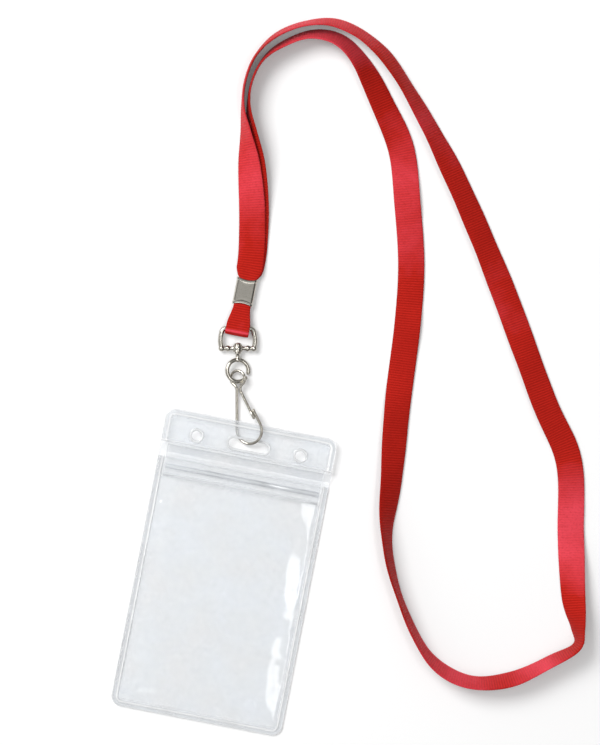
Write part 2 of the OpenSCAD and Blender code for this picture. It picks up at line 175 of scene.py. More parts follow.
# Painted sheen and painted shade along the neck strap: distance from the sleeve,
# then 1 for a painted pale pink highlight and -1 for painted deep red shade
PAINTED_SHEEN_AND_SHADE = np.array([
    [0, 0], [60, -0.3], [85, 0.2], [100, 0.7], [120, 0.8], [135, 0.2], [150, -0.2], [180, 0.5],
    [200, 0.4], [220, 0], [240, -0.3], [280, -0.3], [320, -0.35], [340, -0.3], [360, 0.3],
    [380, 0.8], [400, 0.2], [415, 0.9], [425, 0.2], [435, -0.6], [445, -0.2], [455, 0.5],
    [465, 0.9], [480, 0.9], [490, 0.5], [500, -0.1], [520, -0.3], [540, -0.2], [560, 0.1],
    [580, -0.1], [600, -0.2], [640, 0.2], [660, -0.2], [680, 0.3], [700, 0.7], [720, 0.2],
    [740, 0.2], [760, 0.45], [780, 0.5], [795, 0.1], [805, -0.1], [815, 0]])

# The webbing's section in half widths and half thicknesses: flat faces that thin out to the edges
WEB_SECTION = np.array([
    [1, 0], [0.992, 0.34], [0.962, 0.58], [0.88, 0.80], [0.4, 0.96],
    [-0.4, 0.96], [-0.88, 0.80], [-0.962, 0.58], [-0.992, 0.34], [-1, 0],
    [-0.992, -0.34], [-0.962, -0.58], [-0.88, -0.80], [-0.4, -0.96],
    [0.4, -0.96], [0.88, -0.80], [0.962, -0.58], [0.992, -0.34]])
FACE_HALF = 0.97
RINGS_PER_RIB = 4

# Edges sharper than these stay hard
SLEEVE_CREASE = math.radians(32)
CATCH_CREASE = math.radians(60)
FILM_CREASE = math.radians(50)


# ---------------------------------------------------------------- settings

class WebbingSettings(bpy.types.PropertyGroup):
    """Sizes and colours of the woven strap."""
    width: bpy.props.FloatProperty(
        name="Width", description="Full width of the webbing", default=0.010, unit="LENGTH")
    rib_pitch: bpy.props.FloatProperty(
        name="Rib pitch", description="Distance between the cross ribs", default=0.00095,
        unit="LENGTH")
    rib_height: bpy.props.FloatProperty(
        name="Rib height", description="How far a rib stands out", default=0.000035, unit="LENGTH")
    thread: bpy.props.FloatVectorProperty(
        name="Thread", description="Colour of the raised threads", default=(0.60, 0.023, 0.015),
        size=3, subtype="COLOR")
    # Painted shade: deep red of the weave's hollows and the strap's shaded stretches, also of
    # random specks
    shade_and_grain: bpy.props.FloatVectorProperty(
        name="Valley", description="Colour between the threads", default=(0.32, 0.010, 0.006),
        size=3, subtype="COLOR")
    selvedge: bpy.props.FloatVectorProperty(
        name="Selvedge", description="Colour of the woven edges", default=(0.36, 0.012, 0.009),
        size=3, subtype="COLOR")
    # Painted highlight: the pale pink that the sheen tone mixes in where the satin catches the
    # light
    sheen_pink: bpy.props.FloatVectorProperty(
        name="Worn", description="Colour of brighter, rubbed patches", default=(0.90, 0.085, 0.125),
        size=3, subtype="COLOR")


class NickelSettings(bpy.types.PropertyGroup):
    """Finish of the plated hardware."""
    plating: bpy.props.FloatVectorProperty(
        name="Plating", description="Colour of the plating", default=(0.53, 0.505, 0.45),
        size=3, subtype="COLOR")
    dulled: bpy.props.FloatVectorProperty(
        name="Dulled", description="Colour where the plating is dull", default=(0.33, 0.31, 0.265),
        size=3, subtype="COLOR")
    gloss: bpy.props.FloatProperty(
        name="Roughness", description="Roughness of the clean plating", default=0.13,
        subtype="FACTOR")


class VinylSettings(bpy.types.PropertyGroup):
    """Finish of the clear pouch film."""
    tint: bpy.props.FloatVectorProperty(
        name="Tint", description="Colour of the clear film", default=(0.77, 0.805, 0.845),
        size=3, subtype="COLOR")
    # White of welds, edges, lip, zip and rings: partly the welds' frosting, partly a painted
    # highlight
    frost_and_glint_tint: bpy.props.FloatVectorProperty(
        name="Weld tint", description="Colour of the welded lines", default=(0.95, 0.955, 0.96),
        size=3, subtype="COLOR")
    haze: bpy.props.FloatProperty(
        name="Haze", description="Opacity of the clear film", default=0.10, subtype="FACTOR")
    weld_haze: bpy.props.FloatProperty(
        name="Weld haze", description="Opacity added on the welded lines", default=0.6,
        subtype="FACTOR")
    ripple: bpy.props.FloatProperty(
        name="Ripple", description="Height of the film's ripples near the welds", default=0.00022,
        unit="LENGTH")


class StageSettings(bpy.types.PropertyGroup):
    """Floor, lamps and camera."""
    floor: bpy.props.FloatVectorProperty(
        name="Floor", description="Colour of the floor", default=(0.90, 0.90, 0.90),
        size=3, subtype="COLOR")
    key_power: bpy.props.FloatProperty(
        name="Key lamp", description="Power of the main lamp", default=8.4, unit="POWER")
    side_power: bpy.props.FloatProperty(
        name="Side lamp", description="Power of the strip lamp on the right", default=1.4,
        unit="POWER")
    front_power: bpy.props.FloatProperty(
        name="Front lamp", description="Power of the strip lamp at the front", default=0.7,
        unit="POWER")
    camera_height: bpy.props.FloatProperty(
        name="Camera height", description="Height of the camera over the table", default=1.1,
        unit="LENGTH")
    camera_turn: bpy.props.FloatProperty(
        name="Camera turn", description="Turn of the picture about the view's axis",
        default=math.radians(11), subtype="ANGLE")


# ---------------------------------------------------------------- mesh tools

def unit(vectors):
    """Scales vectors along the last axis to length one."""
    return vectors / np.linalg.norm(vectors, axis=-1, keepdims=True)


def ease(t):
    """Smooth step from 0 to 1."""
    t = np.clip(t, 0.0, 1.0)
    return t * t * (3 - 2 * t)


def bump(t):
    """Soft bump with height 1 at 0 and about a third at 1."""
    return np.exp(-np.square(t))


def travelled(points):
    """Distance gone along a path at each of its points."""
    return np.concatenate([[0], np.cumsum(np.linalg.norm(np.diff(points, axis=0), axis=1))])


def circle(sides, first, second):
    """Points of a unit circle spanned by two directions."""
    turn = np.linspace(0, 2 * math.pi, sides, endpoint=False)
    return np.cos(turn)[:, None] * first + np.sin(turn)[:, None] * second


def skin(rings, loop=False):
    """Closed shell over rings with equal point counts, with capped ends unless the rings loop."""
    rings = np.asarray(rings, float)
    count, sides = rings.shape[:2]
    faces = []
    for a in range(count if loop else count - 1):
        b = (a + 1) % count
        for k in range(sides):
            n = (k + 1) % sides
            faces.append((a * sides + k, a * sides + n, b * sides + n, b * sides + k))
    if not loop:
        faces.append(tuple(range(sides))[::-1])
        faces.append(tuple((count - 1) * sides + k for k in range(sides)))
    return rings.reshape(-1, 3), faces


def tube(path, radius, normal, sides=24, round_ends=(True, True)):
    """Round wire along a flat path, with domed ends where asked."""
    path = np.asarray(path, float)
    run = unit(np.gradient(path, axis=0))
    radius = np.broadcast_to(np.asarray(radius, float), (len(path),))
    steps = np.radians([80, 60, 40, 20])
    start = [(path[0] - run[0] * radius[0] * math.sin(a), run[0], radius[0] * math.cos(a))
             for a in steps]
    end = [(path[-1] + run[-1] * radius[-1] * math.sin(a), run[-1], radius[-1] * math.cos(a))
           for a in steps[::-1]]
    stations = list(zip(path, run, radius))
    stations = (start if round_ends[0] else []) + stations + (end if round_ends[1] else [])
    rings = []
    for centre, ahead, r in stations:
        side = unit(np.cross(normal, ahead))
        rings.append(centre + r * circle(sides, side, np.cross(ahead, side)))
    return skin(rings)


def lathe(profile, at, axis, sides=32):
    """Turned solid: profile holds pairs of distance along the axis and radius."""
    helper = UP if abs(axis @ UP) < 0.9 else np.array([1.0, 0.0, 0.0])
    side = unit(np.cross(axis, helper))
    round_it = circle(sides, side, np.cross(axis, side))
    return skin([at + d * axis + r * round_it for d, r in profile])


def arc(centre, radius, start, end, count):
    """Points of a flat arc, angles in radians."""
    turn = np.linspace(start, end, count)
    return np.stack([centre[0] + radius * np.cos(turn), centre[1] + radius * np.sin(turn)], axis=1)


def in_plane(points, origin, x_dir, y_dir):
    """Places flat points in space."""
    points = np.asarray(points, float)
    return origin + points[:, :1] * x_dir + points[:, 1:2] * y_dir


def even_path(points, step):
    """Drops doubled points of a flat path and spaces it evenly."""
    points = np.asarray(points, float)
    gaps = np.linalg.norm(np.diff(points, axis=0), axis=1)
    points = points[np.concatenate([[True], gaps > 1e-6])]
    gone = travelled(points)
    marks = np.linspace(0, gone[-1], max(2, int(round(gone[-1] / step)) + 1))
    return np.stack([np.interp(marks, gone, points[:, k]) for k in range(points.shape[1])], axis=1)


def add_piece(name, shells, material):
    """Joins shells, in millimetres, into one smooth object at the origin with outward faces."""
    points, faces, base = [], [], 0
    for shell_points, shell_faces in shells:
        points.append(shell_points)
        faces.extend(tuple(i + base for i in face) for face in shell_faces)
        base += len(shell_points)
    mesh = bpy.data.meshes.new(name)
    mesh.from_pydata((np.concatenate(points) * MM).tolist(), [], faces)
    work = bmesh.new()
    work.from_mesh(mesh)
    bmesh.ops.recalc_face_normals(work, faces=work.faces)
    work.to_mesh(mesh)
    work.free()
    mesh.polygons.foreach_set("use_smooth", [True] * len(mesh.polygons))
    mesh.materials.append(material)
    obj = bpy.data.objects.new(name, mesh)
    bpy.context.scene.collection.objects.link(obj)
    return obj


def set_point_values(obj, name, values):
    """Stores one number for each point under an attribute's name."""
    stored = obj.data.attributes.new(name, "FLOAT", "POINT")
    stored.data.foreach_set("value", np.asarray(values, np.float32))


def set_uv(obj, name, uv):
    """Stores a UV map given as one pair for each point."""
    layer = obj.data.uv_layers.new(name=name)
    corners = np.empty(len(obj.data.loops), np.int32)
    obj.data.loops.foreach_get("vertex_index", corners)
    layer.data.foreach_set("uv", np.asarray(uv, np.float32)[corners].ravel())


def bake(obj):
    """Turns an object and its modifiers into a plain mesh."""
    bpy.context.view_layer.update()
    seen = obj.evaluated_get(bpy.context.evaluated_depsgraph_get())
    mesh = bpy.data.meshes.new_from_object(seen)
    obj.modifiers.clear()
    old = obj.data
    obj.data = mesh
    mesh.name = obj.name
    bpy.data.meshes.remove(old)


def crease(obj, angle):
    """Marks edges sharper than an angle as sharp, so that flat faces stay flat."""
    work = bmesh.new()
    work.from_mesh(obj.data)
    for edge in work.edges:
        if len(edge.link_faces) == 2 and edge.calc_face_angle() > angle:
            edge.smooth = False
    work.to_mesh(obj.data)
    work.free()


# ---------------------------------------------------------------- node tools

def plug(tree, socket, value):
    """Links a socket to an output, or sets its plain value."""
    if isinstance(value, bpy.types.NodeSocket):
        tree.links.new(value, socket)
    else:
        socket.default_value = value


def fill(tree, made, sockets):
    """Plugs a node's named sockets."""
    for key, value in sockets.items():
        plug(tree, made.inputs[key], value)


def add_node(tree, kind, sockets=None, **props):
    """Adds a node with its properties set and its named sockets plugged."""
    made = tree.nodes.new(kind)
    for key, value in props.items():
        setattr(made, key, value)
    fill(tree, made, sockets or {})
    return made


def maths(tree, operation, *terms, clamp=False):
    """Adds a maths node and returns its output."""
    made = tree.nodes.new("ShaderNodeMath")
    made.operation = operation
    made.use_clamp = clamp
    for socket, term in zip(made.inputs, terms):
        plug(tree, socket, term)
    return made.outputs[0]


def mix_colour(tree, factor, a, b):
    """Adds a colour mix and returns its output."""
    made = add_node(tree, "ShaderNodeMix", data_type="RGBA")
    plug(tree, made.inputs["Factor"], factor)
    colours = [socket for socket in made.inputs if socket.type == "RGBA"]
    for socket, value in zip(colours, (a, b)):
        plug(tree, socket, value if isinstance(value, bpy.types.NodeSocket) else (*value, 1.0))
    return next(socket for socket in made.outputs if socket.type == "RGBA")


def spread(tree, value, low, high, to_low, to_high):
    """Maps a value from one span to another, held at its ends."""
    made = add_node(tree, "ShaderNodeMapRange", {"Value": value, "From Min": low, "From Max": high,
                                                 "To Min": to_low, "To Max": to_high}, clamp=True)
    return made.outputs["Result"]


def noise(tree, vector, scale, detail=3.0, rough=0.55):
    """Adds a noise texture and returns its factor."""
    made = add_node(tree, "ShaderNodeTexNoise", {"Vector": vector, "Scale": scale, "Detail": detail,
                                                 "Roughness": rough})
    return made.outputs["Fac"]


def bumped(tree, height, strength, distance):
    """Adds a bump and returns its normal."""
    made = add_node(tree, "ShaderNodeBump", {"Strength": strength, "Distance": distance,
                                             "Height": height})
    return made.outputs["Normal"]


def new_material(name):
    """Returns a new material, its tree and its Principled shader."""
    material = bpy.data.materials.new(name)
    material.use_nodes = True
    tree = material.node_tree
    shader = next(n for n in tree.nodes if n.type == "BSDF_PRINCIPLED")
    return material, tree, shader


def group_output(tree, **values):
    """Adds a group's output node and plugs it."""
    fill(tree, tree.nodes.new("NodeGroupOutput"), values)


def new_group(name, inputs, outputs):
    """Returns an empty shader group's tree, its inputs' sockets and the object's coordinates."""
    tree = bpy.data.node_groups.new(name, "ShaderNodeTree")
    for label, default in inputs.items():
        socket = tree.interface.new_socket(label, in_out="INPUT", socket_type="NodeSocketFloat")
        socket.default_value = default
    for label in outputs:
        tree.interface.new_socket(label, in_out="OUTPUT", socket_type="NodeSocketFloat")
    place = tree.nodes.new("ShaderNodeTexCoord").outputs["Object"]
    return tree, tree.nodes.new("NodeGroupInput").outputs, place


def plating_marks():
    """Shader group: dull spots, fine rubbing lines and a height for plated metal."""
    name = "plating_marks"
    if name in bpy.data.node_groups:
        return bpy.data.node_groups[name]
    tree, given, place = new_group(name, {"Spot scale": 900.0, "Line scale": 2400.0},
                                   ("Dull", "Lines", "Height"))
    spots = noise(tree, place, given["Spot scale"], 4.0)
    dull = spread(tree, spots, 0.5, 0.72, 0.0, 1.0)
    stretched = add_node(tree, "ShaderNodeMapping", {"Vector": place, "Scale": (0.12, 1.0, 1.0)})
    lines = noise(tree, stretched.outputs["Vector"], given["Line scale"], 2.0)
    height = maths(tree, "MULTIPLY_ADD", lines, 0.6, spots)
    group_output(tree, Dull=dull, Lines=lines, Height=height)
    return tree


def film_clouds():
    """Shader group: cloudy patches and fine waves of a soft clear film."""
    name = "film_clouds"
    if name in bpy.data.node_groups:
        return bpy.data.node_groups[name]
    tree, given, place = new_group(name, {"Cloud scale": 55.0, "Wave scale": 160.0},
                                   ("Cloud", "Height"))
    cloud = noise(tree, place, given["Cloud scale"], 3.0)
    waves = noise(tree, place, given["Wave scale"], 1.5)
    group_output(tree, Cloud=spread(tree, cloud, 0.35, 0.7, 0.0, 1.0), Height=waves)
    return tree


def woven_red(settings):
    """Satin woven polyester: cross ribs, slanting threads, darker selvedges, painted sheen and
    shade.
    """
    name = "woven_red"
    if name in bpy.data.materials:
        return bpy.data.materials[name]
    material, tree, shader = new_material(name)
    cloth = add_node(tree, "ShaderNodeUVMap", uv_map="weave").outputs["UV"]
    parts = add_node(tree, "ShaderNodeSeparateXYZ", {"Vector": cloth})
    across, along = parts.outputs["X"], parts.outputs["Y"]
    full_turn = 2 * math.pi
    rib_pitch = settings.rib_pitch / MM
    thread_pitch, thread_lean = 0.42, 0.45
    rib = maths(tree, "COSINE", maths(tree, "MULTIPLY", along, full_turn / rib_pitch))
    rib = maths(tree, "MULTIPLY_ADD", rib, 0.5, 0.5)
    lean = maths(tree, "MULTIPLY_ADD", along, thread_lean, across)
    thread = maths(tree, "SINE", maths(tree, "MULTIPLY", lean, full_turn / thread_pitch))
    thread = maths(tree, "MULTIPLY_ADD", thread, 0.5, 0.5)
    fuzz = noise(tree, cloth, 6.0, 4.0, 0.7)
    rib_share, thread_share, fuzz_share = 0.5, 0.3, 0.25
    height = maths(tree, "ADD", maths(tree, "MULTIPLY", rib, rib_share),
                   maths(tree, "MULTIPLY", thread, thread_share))
    height = maths(tree, "MULTIPLY_ADD", fuzz, fuzz_share, height)
    # Painted shade: the weave's low parts take the darker red, as shade in its hollows
    lit = spread(tree, height, 0.12, 0.85, 0.0, 1.0)
    body = mix_colour(tree, lit, settings.shade_and_grain, settings.thread)
    edge_from, edge_to, edge_share = 4.55, 4.9, 0.6
    edge = spread(tree, maths(tree, "ABSOLUTE", across), edge_from, edge_to, 0.0, edge_share)
    body = mix_colour(tree, edge, body, settings.selvedge)
    # Painted highlight and painted shade: the stored tone plus random noise mixes in pink or deep
    # red
    sheen_shade_tone = add_node(tree, "ShaderNodeAttribute", attribute_name="satin").outputs["Fac"]
    patch = noise(tree, cloth, 0.06, 3.0)
    satin = maths(tree, "ADD", sheen_shade_tone, maths(tree, "MULTIPLY_ADD", patch, 1.2, -0.6))
    sheen_shade_share, grain_share = 0.75, 0.3
    body = mix_colour(tree, spread(tree, satin, 0.0, 1.0, 0.0, sheen_shade_share), body, settings.sheen_pink)
    body = mix_colour(tree, spread(tree, satin, 0.0, -1.0, 0.0, sheen_shade_share), body, settings.shade_and_grain)
    grain = noise(tree, cloth, 1.1, 2.0)
    body = mix_colour(tree, spread(tree, grain, 0.5, 0.75, 0.0, grain_share), body, settings.shade_and_grain)
    # The light that the cloth throws on the table is weaker and greyer than the cloth itself
    thrown = tree.nodes.new("ShaderNodeLightPath").outputs["Is Diffuse Ray"]
    thrown_share, thrown_colour = 0.7, (0.07, 0.05, 0.05)
    body = mix_colour(tree, maths(tree, "MULTIPLY", thrown, thrown_share), body, thrown_colour)
    fill(tree, shader, {
        "Base Color": body, "Roughness": spread(tree, fuzz, 0.3, 0.7, 0.34, 0.5), "IOR": 1.1,
        "Specular IOR Level": 0.5, "Specular Tint": (1.0, 0.42, 0.38, 1.0), "Sheen Weight": 0.5,
        "Sheen Roughness": 0.32, "Sheen Tint": (1.0, 0.08, 0.11, 1.0),
        "Normal": bumped(tree, height, strength=0.55, distance=0.00012)})
    return material


def nickel(name, settings, line_scale, dull_share, roughen):
    """Bright nickel plating with dull spots and rubbing lines."""
    if name in bpy.data.materials:
        return bpy.data.materials[name]
    material, tree, shader = new_material(name)
    marks = add_node(tree, "ShaderNodeGroup", node_tree=plating_marks())
    marks.inputs["Line scale"].default_value = line_scale
    dull = maths(tree, "MULTIPLY", marks.outputs["Dull"], dull_share)
    smoothest = settings.gloss - roughen / 2
    rough = maths(tree, "MULTIPLY_ADD", marks.outputs["Lines"], roughen, smoothest)
    fill(tree, shader, {
        "Base Color": mix_colour(tree, dull, settings.plating, settings.dulled), "Metallic": 1.0,
        "Roughness": maths(tree, "MULTIPLY_ADD", dull, 0.2, rough),
        "Normal": bumped(tree, marks.outputs["Height"], strength=0.07, distance=0.00003)})
    return material


def pressed_nickel(scene):
    """Plating of the pressed sleeve, rubbed along its length."""
    return nickel("nickel_pressed", scene.lanyard_nickel, line_scale=1500.0, dull_share=0.35,
                  roughen=0.14)


def bright_nickel(scene):
    """Plating of the cast and bent pieces."""
    return nickel("nickel_bright", scene.lanyard_nickel, line_scale=2400.0, dull_share=0.5,
                  roughen=0.05)


def clear_vinyl(name, settings, extra_haze, relief_strength, weld_shade):
    """Soft clear glossy film: hazy in places, white welds (frost plus painted highlight), weak
    shadow.
    """
    if name in bpy.data.materials:
        return bpy.data.materials[name]
    material, tree, shader = new_material(name)
    clouds = add_node(tree, "ShaderNodeGroup", node_tree=film_clouds())
    cloud = clouds.outputs["Cloud"]
    cloud_haze, film_shade = 0.20, 0.05
    # The weld attribute whitens the film: partly frosting, partly a painted highlight on edges
    weld = add_node(tree, "ShaderNodeAttribute", attribute_name="weld").outputs["Fac"]
    seen = maths(tree, "MULTIPLY_ADD", cloud, cloud_haze, settings.haze + extra_haze)
    seen = maths(tree, "MULTIPLY_ADD", weld, settings.weld_haze, seen)
    shade = maths(tree, "MULTIPLY_ADD", weld, weld_shade, film_shade)
    shadow_ray = tree.nodes.new("ShaderNodeLightPath").outputs["Is Shadow Ray"]
    alpha = add_node(tree, "ShaderNodeMix", data_type="FLOAT")
    for socket, value in zip((alpha.inputs["Factor"], alpha.inputs[2], alpha.inputs[3]),
                             (shadow_ray, seen, shade)):
        plug(tree, socket, value)
    fill(tree, shader, {
        "Base Color": mix_colour(tree, weld, settings.tint, settings.frost_and_glint_tint),
        "Alpha": alpha.outputs[0], "Roughness": spread(tree, cloud, 0.0, 1.0, 0.06, 0.16),
        "IOR": 1.54, "Specular IOR Level": 1.0, "Coat Weight": 1.0, "Coat Roughness": 0.03,
        "Normal": bumped(tree, clouds.outputs["Height"], relief_strength, distance=0.001)})
    return material


def clear_film(scene):
    """Film of the pouch's sheets."""
    return clear_vinyl("vinyl_clear", scene.lanyard_vinyl, extra_haze=0.0,
                       relief_strength=0.10, weld_shade=0.8)


def zip_vinyl(scene):
    """Thicker vinyl of the zip's profiles."""
    return clear_vinyl("vinyl_zip", scene.lanyard_vinyl, extra_haze=0.06,
                       relief_strength=0.05, weld_shade=0.1)


# ---------------------------------------------------------------- webbing

def rib_tree():
    """Geometry nodes: cross ribs raised along the webbing's faces."""
    name = "woven_ribs"
    if name in bpy.data.node_groups:
        return bpy.data.node_groups[name]
    tree = bpy.data.node_groups.new(name, "GeometryNodeTree")
    for label, kind in (("Geometry", "NodeSocketGeometry"), ("Pitch", "NodeSocketFloat"),
                        ("Height", "NodeSocketFloat"), ("Material", "NodeSocketMaterial")):
        tree.interface.new_socket(label, in_out="INPUT", socket_type=kind)
    tree.interface.new_socket("Geometry", in_out="OUTPUT", socket_type="NodeSocketGeometry")
    given = tree.nodes.new("NodeGroupInput")
    along = add_node(tree, "GeometryNodeInputNamedAttribute", {"Name": "along"}, data_type="FLOAT")
    face = add_node(tree, "GeometryNodeInputNamedAttribute", {"Name": "face"}, data_type="FLOAT")
    ribs_gone = maths(tree, "DIVIDE", along.outputs["Attribute"], given.outputs["Pitch"])
    turn = maths(tree, "MULTIPLY", ribs_gone, 2 * math.pi)
    lift = maths(tree, "MULTIPLY", maths(tree, "COSINE", turn), given.outputs["Height"])
    lift = maths(tree, "MULTIPLY", lift, face.outputs["Attribute"])
    away = add_node(tree, "ShaderNodeVectorMath", operation="SCALE")
    plug(tree, away.inputs["Vector"], tree.nodes.new("GeometryNodeInputNormal").outputs["Normal"])
    plug(tree, away.inputs["Scale"], lift)
    moved = add_node(tree, "GeometryNodeSetPosition", {"Geometry": given.outputs["Geometry"],
                                                       "Offset": away.outputs["Vector"]})
    plain = add_node(tree, "GeometryNodeRealizeInstances", {"Geometry": moved.outputs["Geometry"]})
    dressed = add_node(tree, "GeometryNodeSetMaterial", {"Geometry": plain.outputs["Geometry"],
                                                         "Material": given.outputs["Material"]})
    group_output(tree, Geometry=dressed.outputs["Geometry"])
    return tree


def raise_ribs(obj, settings, material):
    """Runs the rib tree on a ribbon and keeps the result as its mesh."""
    tree = rib_tree()
    modifier = obj.modifiers.new("ribs", "NODES")
    modifier.node_group = tree
    values = {"Pitch": settings.rib_pitch, "Height": settings.rib_height, "Material": material}
    for item in tree.interface.items_tree:
        if item.in_out == "INPUT" and item.name in values:
            modifier[item.identifier] = values[item.name]
    bake(obj)


def ribbon(name, centre, across, up, widths, settings):
    """Webbing along a path: a section that thins to its edges, ribs and a UV map in millimetres."""
    half = widths[:, None] / 2 * WEB_SECTION[None, :, 0]
    rings = (centre[:, None, :] + half[:, :, None] * across[:, None, :]
             + (WEB_SECTION[:, 1] * STRAP_T / 2)[None, :, None] * up[:, None, :])
    material = woven_red(settings)
    obj = add_piece(name, [skin(rings)], material)
    sides = len(WEB_SECTION)
    along = np.repeat(travelled(centre), sides)
    across_mm = np.tile(WEB_SECTION[:, 0] * settings.width / MM / 2, len(centre))
    on_face = np.tile(np.abs(WEB_SECTION[:, 0]) < FACE_HALF, len(centre))
    set_point_values(obj, "along", along * MM)
    set_point_values(obj, "face", on_face.astype(float))
    set_uv(obj, "weave", np.stack([across_mm, along], axis=1))
    raise_ribs(obj, settings, material)
    return obj


def strap_lie(settings):
    """Centre line, width direction, face direction and width of the neck strap, evenly spaced."""
    count = len(ROUTE)
    samples = []
    for i in range(count - 1):
        a, b, c, d = ROUTE[max(i - 1, 0)], ROUTE[i], ROUTE[i + 1], ROUTE[min(i + 2, count - 1)]
        steps = max(8, int(np.linalg.norm((c - b)[:2]) / 0.1))
        t = np.linspace(0, 1, steps, endpoint=False)[:, None]
        samples.append(0.5 * (2 * b + (c - a) * t + (2 * a - 5 * b + 4 * c - d) * t ** 2
                              + (3 * b - a - 3 * c + d) * t ** 3))
    route = np.concatenate(samples + [ROUTE[-1:]])
    gone = travelled(route[:, :2])
    held, eased = 60, 40
    free = ease((np.minimum(gone, gone[-1] - gone) - held) / eased)
    route[:, 2] += free * (3.0 * np.sin(gone / 9.1) + 1.5 * np.sin(gone / 3.7 + 0.8))
    full = settings.width / MM

    def lie(points):
        roll = np.radians(points[:, 2])
        run = unit(np.gradient(points[:, :2], axis=0))
        away = np.clip(np.hypot(points[:, 0], np.maximum(points[:, 1], 0)) / FLARE, 0, 1)
        shoulder = 0.35 * ease(away) + 0.65 * np.sqrt(away * (2 - away))
        widths = PINCHED_W + (full - PINCHED_W) * shoulder
        flat, steep = np.cos(roll), np.sin(roll)
        height = points[:, 3] + widths / 2 * np.abs(steep) + STRAP_T / 2 * flat
        middle = np.stack([MOUTH[0] + points[:, 0], MOUTH[1] + points[:, 1], height], axis=1)
        across = np.stack([-run[:, 1] * flat, run[:, 0] * flat, steep], axis=1)
        up = np.stack([run[:, 1] * steep, -run[:, 0] * steep, flat], axis=1)
        return middle, across, up, widths

    gone = travelled(lie(route)[0])
    step = settings.rib_pitch / MM / RINGS_PER_RIB
    marks = np.arange(0, gone[-1], step)
    even = np.stack([np.interp(marks, gone, route[:, k]) for k in range(4)], axis=1)
    return lie(even), gone[-1]


def make_neck_strap(scene):
    """The long loop of webbing, both ends held in the sleeve."""
    settings = scene.lanyard_webbing
    (middle, across, up, widths), length = strap_lie(settings)
    obj = ribbon("webbing_loop", middle, across, up, widths, settings)
    # Painted highlight and painted shade along the strap, stored for its material
    gone = np.linspace(0, length, len(middle))
    sheen_shade_tone = np.interp(gone, PAINTED_SHEEN_AND_SHADE[:, 0], PAINTED_SHEEN_AND_SHADE[:, 1])
    set_point_values(obj, "satin", np.repeat(sheen_shade_tone, len(WEB_SECTION)))
    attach(obj, "strap")
    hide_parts("neck_strap")


def make_strap_tab(scene):
    """The short folded end below the sleeve, round the ring's bar."""
    settings = scene.lanyard_webbing
    fold_y = BAR[1] - FOLD_SAG
    layer = STRAP_T / 2 + LAYER_GAP
    inside_y = SLEEVE_Y + SLEEVE_L / 2 - END_GAP
    hold_y = fold_y + FOLD_R * 1.6
    rising = [(inside_y, layer), (SLEEVE_Y, layer), (SLEEVE_Y - 1.2, layer + 0.12)]
    flat = np.array(rising + [(hold_y, FOLD_R * 0.99)])
    bend = arc((fold_y, 0), FOLD_R, math.pi / 2, 3 * math.pi / 2, 24)
    side = np.concatenate([flat, bend, flat[::-1] * [1, -1]])
    side = even_path(side, settings.rib_pitch / MM / RINGS_PER_RIB)
    run = unit(np.gradient(side, axis=0))
    centre = np.stack([np.full(len(side), BAR[0]), side[:, 0], BAR[2] + side[:, 1]], axis=1)
    across = np.tile([1.0, 0.0, 0.0], (len(side), 1))
    up = np.stack([np.zeros(len(side)), run[:, 1], -run[:, 0]], axis=1)
    fold_top = fold_y + FOLD_R
    narrowing = ease((side[:, 0] - fold_top) / (SLEEVE_Y - fold_top))
    widths = TAB_W + (PINCHED_W - TAB_W) * narrowing
    obj = ribbon("webbing_tab", centre, across, up, widths, settings)
    # Painted highlight along the top of the fold, stored as sheen tone
    fold_highlight = 1.2 * bump((side[:, 0] - fold_y + 0.35) / 0.4) * (side[:, 1] > 0)
    set_point_values(obj, "satin", np.repeat(fold_highlight, len(WEB_SECTION)))
    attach(obj, "strap")
    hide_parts("strap_tab")


# ---------------------------------------------------------------- hardware

def make_crimp(scene):
    """Pressed sleeve: dished faces, scooped ends and rolled lips."""
    quarter = np.array([(0.0, 1.0), (0.2, 1.0), (0.4, 1.0), (0.6, 1.0), (0.75, 1.0), (0.84, 0.79),
                        (0.915, 0.6), (0.955, 0.44), (0.982, 0.28), (0.995, 0.13)])
    half = np.concatenate([quarter[:0:-1], quarter * [-1, 1]])
    outline = np.concatenate([[(1.0, 0.0)], half, [(-1.0, 0.0)], half[::-1] * [1, -1]])
    outline = outline * [SLEEVE_W / 2, SLEEVE_H / 2]
    run = unit(np.roll(outline, -1, axis=0) - np.roll(outline, 1, axis=0))
    x, z = outline.T
    nx, nz = run[:, 1], -run[:, 0]
    scoop = SLEEVE_DIP * (1 - np.square(x / (SLEEVE_W / 2)))
    dish_depth, dish_reach, lip_l = 0.12, 2.3, 1.4
    dish = dish_depth * bump(x / dish_reach) * np.abs(nz)
    # Rolled lip: distance from the sleeve's end, and how far it stands out from the face
    lip = [(1.6, -SLEEVE_WALL), (0.25, -SLEEVE_WALL), (0.06, -0.75 * SLEEVE_WALL),
           (0.0, -0.4 * SLEEVE_WALL), (0.0, -0.15 * SLEEVE_WALL), (0.06, -0.02), (0.22, 0.04),
           (0.45, 0.105), (0.66, 0.15), (0.8, 0.155), (0.95, 0.1), (1.1, 0.03), (lip_l, 0.0)]

    def ring(y, reach):
        return np.stack([BAR[0] + x + nx * reach, y, BAR[2] + z + nz * reach], axis=1)

    rings = []
    for end, stations in ((0, lip), (1, lip[::-1])):
        for depth, out in stations:
            y = scoop + depth
            pressed = dish * ease((depth - 0.5) / 1.5) if out == 0.0 else 0.0
            rings.append(ring(SLEEVE_Y + (y if end == 0 else SLEEVE_L - y), out - pressed))
        if end == 0:
            y0, y1 = SLEEVE_Y + scoop + lip_l, SLEEVE_Y + SLEEVE_L - scoop - lip_l
            for share in np.linspace(0.15, 0.85, 8):
                deep = dish * ease(min(share, 1 - share) * 8)
                rings.append(ring(y0 + (y1 - y0) * share, -deep))
    obj = add_piece("crimp_sleeve", [skin(rings, loop=True)], pressed_nickel(scene))
    crease(obj, SLEEVE_CREASE)
    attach(obj, "strap")
    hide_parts("crimp")


